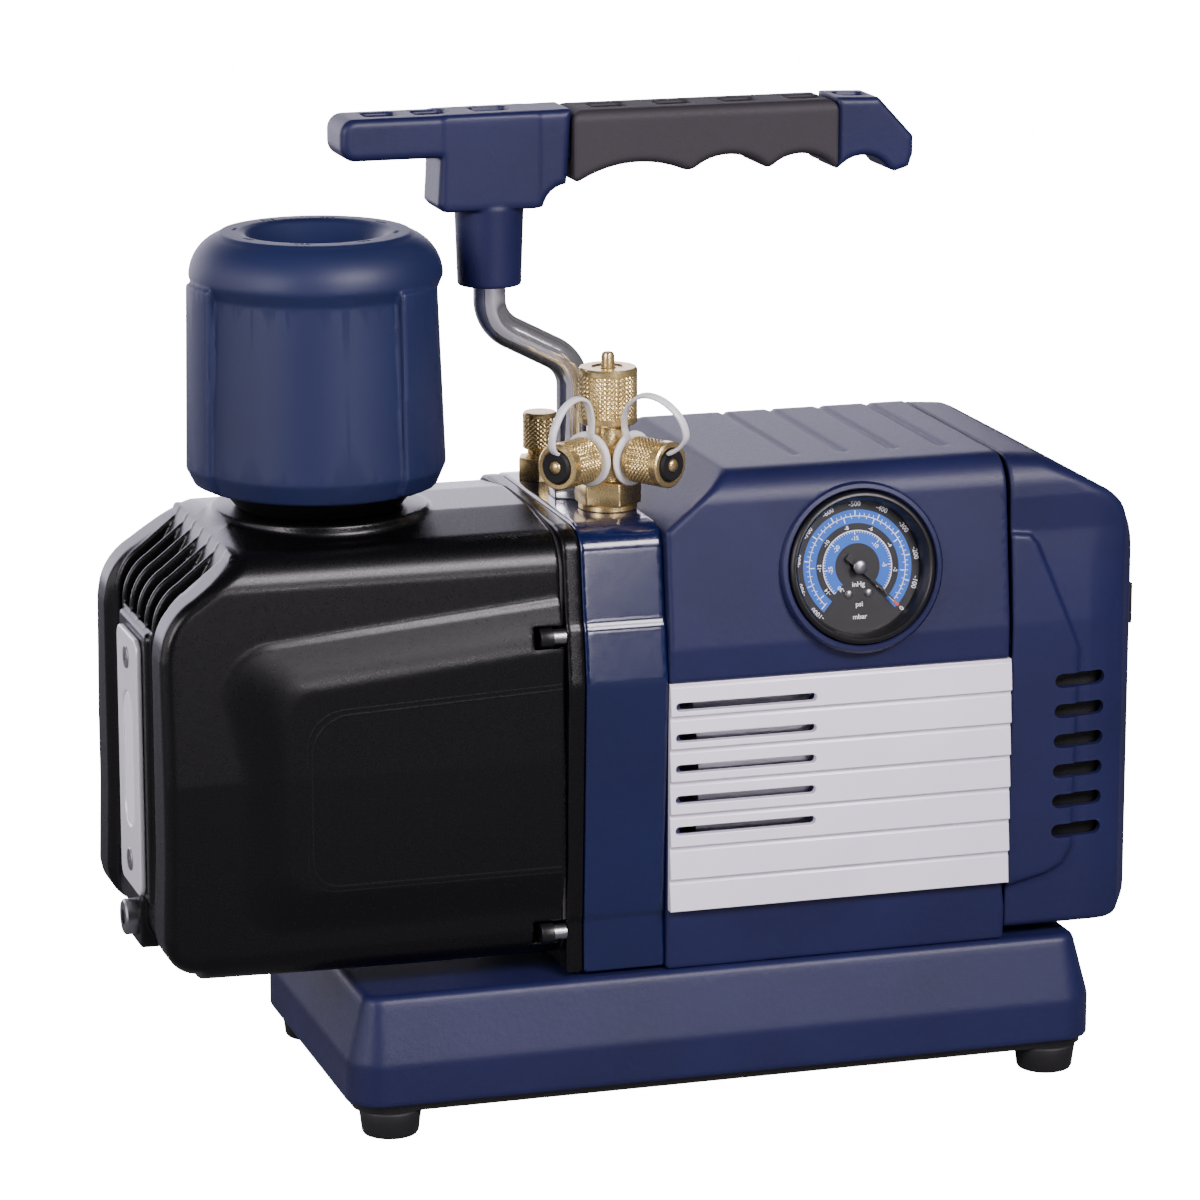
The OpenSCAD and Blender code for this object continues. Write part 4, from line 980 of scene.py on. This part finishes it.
def strap(side, roll, loop):
    """A washer on the port's neck, and a flat loop from it to the cap's end.

    loop lists the loop's points as (distance along the port, height above it)."""
    section = [(1.3 * u, 0.6 * v) for u, v in
               [(-1, -0.6), (-0.8, -1), (0.8, -1), (1, -0.6), (1, 0.6), (0.8, 1), (-0.8, 1), (-1, 0.6)]]
    path = [(u, 0, v) for u, v in smooth_curve(loop)]
    ribbon = placed(sweep(path, section, up=(0, 1, 0)), turn(roll, "X"))
    to_frame = move(MX, MY, PORT_Z) @ turn(TURNS[side], "Z")
    shape = merged([placed(ribbon, to_frame), placed(washer(9.2, 4.55, WASHER_AT, 0.7), to_frame @ ALONG_X)])
    obj = linked(side + "_strap_loop", mesh_of(side + "_strap_loop", *shape))
    obj.data.materials.append(MILKY)
    shade(obj, 60)
    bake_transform(obj)
    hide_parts(side + "_strap")


strap("left", -8, ((11, 5.2), (11.5, 13), (15, 20), (21, 22.5), (28, 20), (32, 13), (32, 8), (30.4, 5.6),
                   (28.8, 4.8)))
strap("right", 22, ((11, 5.2), (12, 14), (17, 22), (25, 26.5), (33, 25.5), (38.5, 20), (39, 13), (35.5, 8.6),
                    (31.5, 6), (28.8, 4.8)))


# ---------- Motor shell, side panels and fan cover ----------

SEAM, REAR = 122, 171.5


def shell_outline(z0=BASE_TOP):
    return outline(57.2, 58, 60.8, 55.6, z0, 66, 160, 217.5, 13)


SLOPE = [(MOTOR_X0, 30), (SEAM, 30), (SEAM, 217.5), (24, 217.5), (MOTOR_X0, 199)]
SLOPE_INNER = [(MOTOR_X0 + 3, 30), (140, 30), (140, 214.5), (25, 214.5), (MOTOR_X0 + 3, 197.5)]
PANEL_Z0, PANEL_Z1, RIBS = 69.5, 148.5, 7
PANEL_SLOTS = [97.6 + 10.7 * i for i in range(5)]
PANEL_SLOT_X = (2.5, 52)
TOP_GROOVES = (53.5, 71, 89, 107)
GAUGE, GAUGE_LEAN = (68, -59.5, 183.5), 80


def gauge_space(x, y, z):
    """(distance from the gauge's axis, height out of the dial)."""
    dy, dz = y - GAUGE[1], z - GAUGE[2]
    cos, sin = math.cos(math.radians(GAUGE_LEAN)), math.sin(math.radians(GAUGE_LEAN))
    return np.hypot(x - GAUGE[0], dy * cos + dz * sin), -dy * sin + dz * cos


def shell(x, y, z):
    ay = np.abs(y)
    section = poly2(ay, z, shell_outline())
    outer = meet(meet(section, poly2(x, z, SLOPE), 1.5), BASE_TOP - z, 0.6)
    # A shallow step beside the fan cover reads as the seam between them
    outer = outer + 1.0 * np.clip((x - SEAM + 1.5) / 0.5, 0, 1) * np.clip((z - 60) / 8, 0, 1)
    recess = meet(58 - ay, slab(z, PANEL_Z0, PANEL_Z1), 0.4)
    outer = cut(outer, recess, 0.5)
    for at in TOP_GROOVES:
        groove = meet(np.abs(x - at) - 1.3, -section - 1.0, 0.5)
        outer = cut(outer, np.maximum(groove, np.maximum(slab(y, -31, 50), 195 - z)), 0.5)
    inner = meet(poly2(ay, z, shell_outline(20)) + 3, poly2(x, z, SLOPE_INNER), 1)
    inner = cut(inner, np.maximum(55 - ay, slab(z, PANEL_Z0 - 4, PANEL_Z1 + 4)), 0.3)
    r, out = gauge_space(x, y, z)
    well = meet(r - (26.2 + 0.75 * np.clip(out + 2.4, 0, 2.4)), -out - 21, 0.3)
    f = cut(outer, inner, 0.3)
    f = cut(f, np.maximum(well, y + 20), 0.4)
    return cut(f, np.maximum(np.hypot(y, z - SHAFT_Z) - BORE_R, x - 10), 0.3)


solid_piece("motor_casing", shell, (MOTOR_X0, -61, BASE_TOP), (SEAM, 61, 217.5), 0.9, "body", NAVY,
            "motor_shell", keep=0.35,
            cutters=side_slots(PANEL_SLOTS, PANEL_SLOT_X[0] + 2, PANEL_SLOT_X[1], 4, 50, 66))


def ribbed(side):
    """A panel of seven stepped ribs; its five slots are cut afterwards."""
    rib = (PANEL_Z1 - PANEL_Z0) / RIBS
    half = [(58, PANEL_Z1 - 0.2), (58, PANEL_Z0 + 0.2)]
    for i in range(RIBS):
        z = PANEL_Z0 + 0.2 + rib * i
        half += [(61.35, z + 0.1), (60.35, z + rib - 1.7), (60.0, z + rib - 1.5), (60.0, z + rib - 0.25)]
    half[-1] = (60.0, PANEL_Z1 - 0.2)
    n = len(half)
    verts = [(x, side * y, z) for x in (MOTOR_X0 + 0.2, SEAM - 0.2) for y, z in half]
    faces = [list(range(n)), list(range(n, 2 * n))[::-1]]
    faces += [[i, i + n, (i + 1) % n + n, (i + 1) % n] for i in range(n)]
    if side < 0:
        faces = [f[::-1] for f in faces]
    return verts, faces


panels = linked("ribbed_panels", mesh_of("ribbed_panels", *merged([ribbed(-1), ribbed(1)])))
carve(panels, side_slots(PANEL_SLOTS, *PANEL_SLOT_X, 2.9, 50, 66))
bevel(panels, 0.22, 25)
settle(panels, "body", SILVER, "side_panels", 30)

COVER_PROFILE = ([(110, 50.5), (157.5, 50.5)] + arc((159.5, 62.5), 12, -90, 0) + [(REAR, 150)]
                 + arc((145.5, 180), 26, 0, 65) + [(135, 215.5), (110, 218.6)])
COVER_PLAN = mirrored([(62, 110), (61, 151.5), (55, 165.5), (47, REAR)])
CONTOUR = [(100, 60), (123, 67.6), (137, 71), (142.6, 74), (145.6, 79.5), (146.3, 136), (146.6, 150),
           (131.5, 187), (129, 190), (121, 191), (100, 191)]
COVER_SLOTS = [85.6 + 10.66 * i for i in range(6)]
GRILLE_R, GRILLE_PITCH = 34, 8
INLET, SWITCH = (22, 26, 20), (-27, 28, 12)  # y, width and height of their holes


def cover(x, y, z):
    ay = np.abs(y)

    def form(inset):
        side = poly2(ay, z, shell_outline(40)) + inset
        side = meet(side, poly2(ay, x, COVER_PLAN) + inset, 5)
        return meet(side, poly2(x, z, COVER_PROFILE) + inset, 4)
    step = np.clip(poly2(x, z, CONTOUR) / 1.3 + 0.5, 0, 1) * np.clip((ay - 42) / 8, 0, 1)
    step = step * np.clip((203 - z) / 12, 0, 1)
    outer = form(-0.5) + 1.9 * step
    f = cut(outer, form(3.4), 0.3)
    return meet(f, SEAM + 0.2 - x, 0.7)


def rear_hole(points, z):
    """A cutter through the rear wall, of (y, height above z) points."""
    to_rear = Matrix(((0, 0, 1, 0), (1, 0, 0, 0), (0, 1, 0, 0), (0, 0, 0, 1)))
    return placed(prism(points, 160, 176), move(0, 0, z) @ to_rear)


cover_cuts = side_slots(COVER_SLOTS, 138, 157, 5, 40, 70)
for h in range(-28, 29, GRILLE_PITCH):
    w = math.sqrt(GRILLE_R * GRILLE_R - h * h)
    cover_cuts.append(rear_hole(slot_outline(-w, w, h, 4), SHAFT_Z))
for y, w, h in (INLET, SWITCH):
    corners = [(y + u * w / 2, v * h / 2) for u, v in ((-1, -1), (1, -1), (1, 1), (-1, 1))]
    cover_cuts.append(rear_hole(corners, 160))
solid_piece("rear_cover", cover, (SEAM, -62, 50), (REAR, 62, 218), 0.9, "body", NAVY, "fan_cover",
            keep=0.4, cutters=cover_cuts)


# Thin black sheets behind the side slots of the fan cover: painted shade, so the slots read dark inside
shade_sheets = [prism_y([(134, 80), (159, 80), (159, 148), (134, 148)], at - 0.4, at + 0.4) for at in (-51, 51)]
piece("slot_shade_sheets", merged(shade_sheets), "body", DARK, soften=0.2)


# ---------- Gauge ----------

DIAL_FRAME = move(*GAUGE) @ turn(GAUGE_LEAN, "X")
DIAL_Z = -5.0
bezel = lathe([(0, -20), (25.4, -20), (25.7, -19.6), (25.7, 0.6), (25.3, 1.5), (24.6, 1.95), (24.0, 2.0),
               (23.6, 1.7), (23.3, 0.9), (22.6, -0.4), (22.2, -2.5), (22.2, -6), (0, -6)], 96)
surround = lathe([(26.1, -4), (26.1, 0.3), (26.6, 0.8), (27.9, 0.6), (28.8, -0.5), (28.9, -4), (26.1, -4)],
                 96)
piece("gauge_surround", placed(surround, DIAL_FRAME), "body", NAVY, angle=40)
stem = lathe([(0, -30), (5, -30), (5, -19), (0, -19)], 32)
piece("gauge_housing", placed(merged([bezel, stem]), DIAL_FRAME), "body", BLACK, "gauge_case",
      40)


def band(r0, r1, a0, a1, z0, z1, steps=90):
    """A flat part of a ring, from angle a0 to a1 in degrees."""
    verts, faces = [], []
    for k in range(steps + 1):
        a = math.radians(a0 + (a1 - a0) * k / steps)
        verts += [(r * math.cos(a), r * math.sin(a), z) for r, z in ((r0, z0), (r1, z0), (r1, z1), (r0, z1))]
    for k in range(steps):
        b = 4 * k
        faces += [[b + i, b + (i + 1) % 4, b + 4 + (i + 1) % 4, b + 4 + i][::-1] for i in range(4)]
    faces += [[0, 1, 2, 3], [b + 4 + i for i in (3, 2, 1, 0)]]
    return verts, faces


def bar(r0, r1, width, angle, z0=DIAL_Z, z1=-4.82):
    corners = [(r0, -width / 2), (r1, -width / 2), (r1, width / 2), (r0, width / 2)]
    return placed(prism(corners, z0, z1), turn(angle, "Z"))


def scale_angle(share):
    """Degrees from the dial's X axis, for a share of the way along a scale."""
    return -45 + 270 * share


def label(text, height, x, y, spin=0.0):
    """Raised lettering, centred on a point of the dial."""
    curve = bpy.data.curves.new("label", "FONT")
    curve.body = text
    curve.size = height * 1.38
    curve.align_x, curve.align_y = "CENTER", "CENTER"
    curve.extrude = 0.06
    curve.offset = 0.02
    curve.resolution_u = 3
    obj = linked("label", curve)
    mesh = bpy.data.meshes.new_from_object(obj.evaluated_get(bpy.context.evaluated_depsgraph_get()))
    verts = [tuple(v.co) for v in mesh.vertices]
    faces = [list(p.vertices) for p in mesh.polygons]
    bpy.data.objects.remove(obj)
    bpy.data.meshes.remove(mesh)
    return placed((verts, faces), move(x, y, -4.86) @ turn(spin, "Z"))


blue = [band(14.6, 19.2, -49, 229, DIAL_Z, -4.9), band(7.9, 12.0, -40, 226, DIAL_Z, -4.9)]
white = [band(16.9, 17.15, -45, 225, DIAL_Z, -4.82), band(12.0, 12.3, -45, 225, DIAL_Z, -4.82)]
# Scale marks: how many, how often a long one, and each kind's radii and width
for count, every, major, minor in ((51, 5, (17, 18.9, 0.34), (17, 18.0, 0.2)),
                                   (30, 4, (15.2, 17, 0.32), (16.2, 17, 0.2)),
                                   (60, 10, (10.7, 12.1, 0.3), (11.4, 12.1, 0.17))):
    white += [bar(*(minor if k % every else major), scale_angle(k / (count - 1))) for k in range(count)]
# Scale numbers: which multiples of a step, the scale's end, the letters' height and their radius
for numbers, step, full, height, r in ((range(11), 100, 1000, 1.7, 21.0), (range(1, 8), 2, 14.5, 1.35, 13.45),
                                       (range(7), 5, 29.5, 1.45, 9.5)):
    for k in numbers:
        a = scale_angle(step * k / full)
        white.append(label(str(-step * k), height, r * math.cos(math.radians(a)), r * math.sin(math.radians(a)),
                           a - 90))
for text, y in (("inHg", -5.9), ("psi", -12.6), ("mbar", -16.8)):
    white.append(label(text, 1.75, 0, y))
piece("dial_bands", placed(merged(blue), DIAL_FRAME), "body", BLUE_PRINT, angle=30)
piece("dial_marks", placed(merged(white), DIAL_FRAME), "body", WHITE_PRINT, angle=30)
piece("dial_zero", placed(bar(17.3, 19.6, 0.9, scale_angle(0), -4.8, -4.7), DIAL_FRAME), "body", RED_PRINT,
      angle=30)
dots = [placed(lathe([(0, DIAL_Z), (1.35, DIAL_Z), (1.35, -4.6), (0.9, -4.3), (0, -4.2)], 24), move(x, -9, 0))
        for x in (-3.5, 3.5)]
piece("dial_screws", placed(merged(dots), DIAL_FRAME), "body", STEEL)
pointer = prism([(-5.5, -1.0), (-5, -1.3), (0, -0.7), (16.6, -0.22), (16.9, 0), (16.6, 0.22), (0, 0.7),
                 (-5, 1.3), (-5.5, 1.0)], -3.7, -3.2)
hub = lathe([(0, -2.6), (1.9, -2.6), (2.3, -2.4), (2.3, -1.9), (1.8, -1.5), (0, -1.4)], 32)
needle_frame = DIAL_FRAME @ turn(scale_angle(0), "Z")
piece("needle_blade", placed(merged([pointer, lathe([(0, -4), (2.2, -4), (2.2, -2.6), (0, -2.6)], 32)]),
                             needle_frame), "needle", NEEDLE, "gauge_needle", 30)
piece("needle_hub", placed(hub, needle_frame), "needle", STEEL)


# ---------- CAD nodes that stay ----------

# Material, width of the rounded edges, and nodes
CARRIED = (
    (BLACK, 0.2, "cooling_fan"), (BLACK, 0.3, "base_pan rocker_housing"), (BLACK, 0.4, "mains_inlet rocker"),
    (BLACK, 0.6, "capacitor"), (STEEL, 0, "base_screws"), (STEEL, 0.1, "discharge_valve"),
    (STEEL, 0.2, "pump_shaft valve_guard"), (STEEL, 0.3, "motor_shaft bearings coupling_hubs"),
    (RUBBER, 0, "tank_gasket filter_seal"), (RUBBER, 0.2, "shaft_seal"), (RUBBER, 0.3, "coupling_spider"),
    (IRON, 0.1, "pump_rotors"), (IRON, 0.2, "stator_core motor_rotor"),
    (IRON, 0.4, "pump_stators pump_plates"), (SILVER, 0.4, "motor_frame end_bells"),
    (SILVER, 0.5, "motor_cradle"), (VANE, 0.1, "first_vanes second_vanes"), (PAPER, 0, "filter_element"),
    (COPPER, 2.0, "windings"), (DIAL, 0, "gauge_dial"), (GLASS, 0, "gauge_glass"),
)
for material, width, nodes in CARRIED:
    for obj in (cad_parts[node] for node in nodes.split()):
        for held in obj.material_slots:
            held.material = material
        if not obj.material_slots:
            obj.data.materials.append(material)
        if width:
            bevel(obj, width, 40)


# ---------- Floor ----------

FLOOR_R = 6000
rim = [(FLOOR_R * math.cos(k * math.pi / 32), FLOOR_R * math.sin(k * math.pi / 32), 0) for k in range(64)]
floor = linked("floor", mesh_of("floor", rim, [list(range(64))]))
floor.data.materials.append(FLOOR)
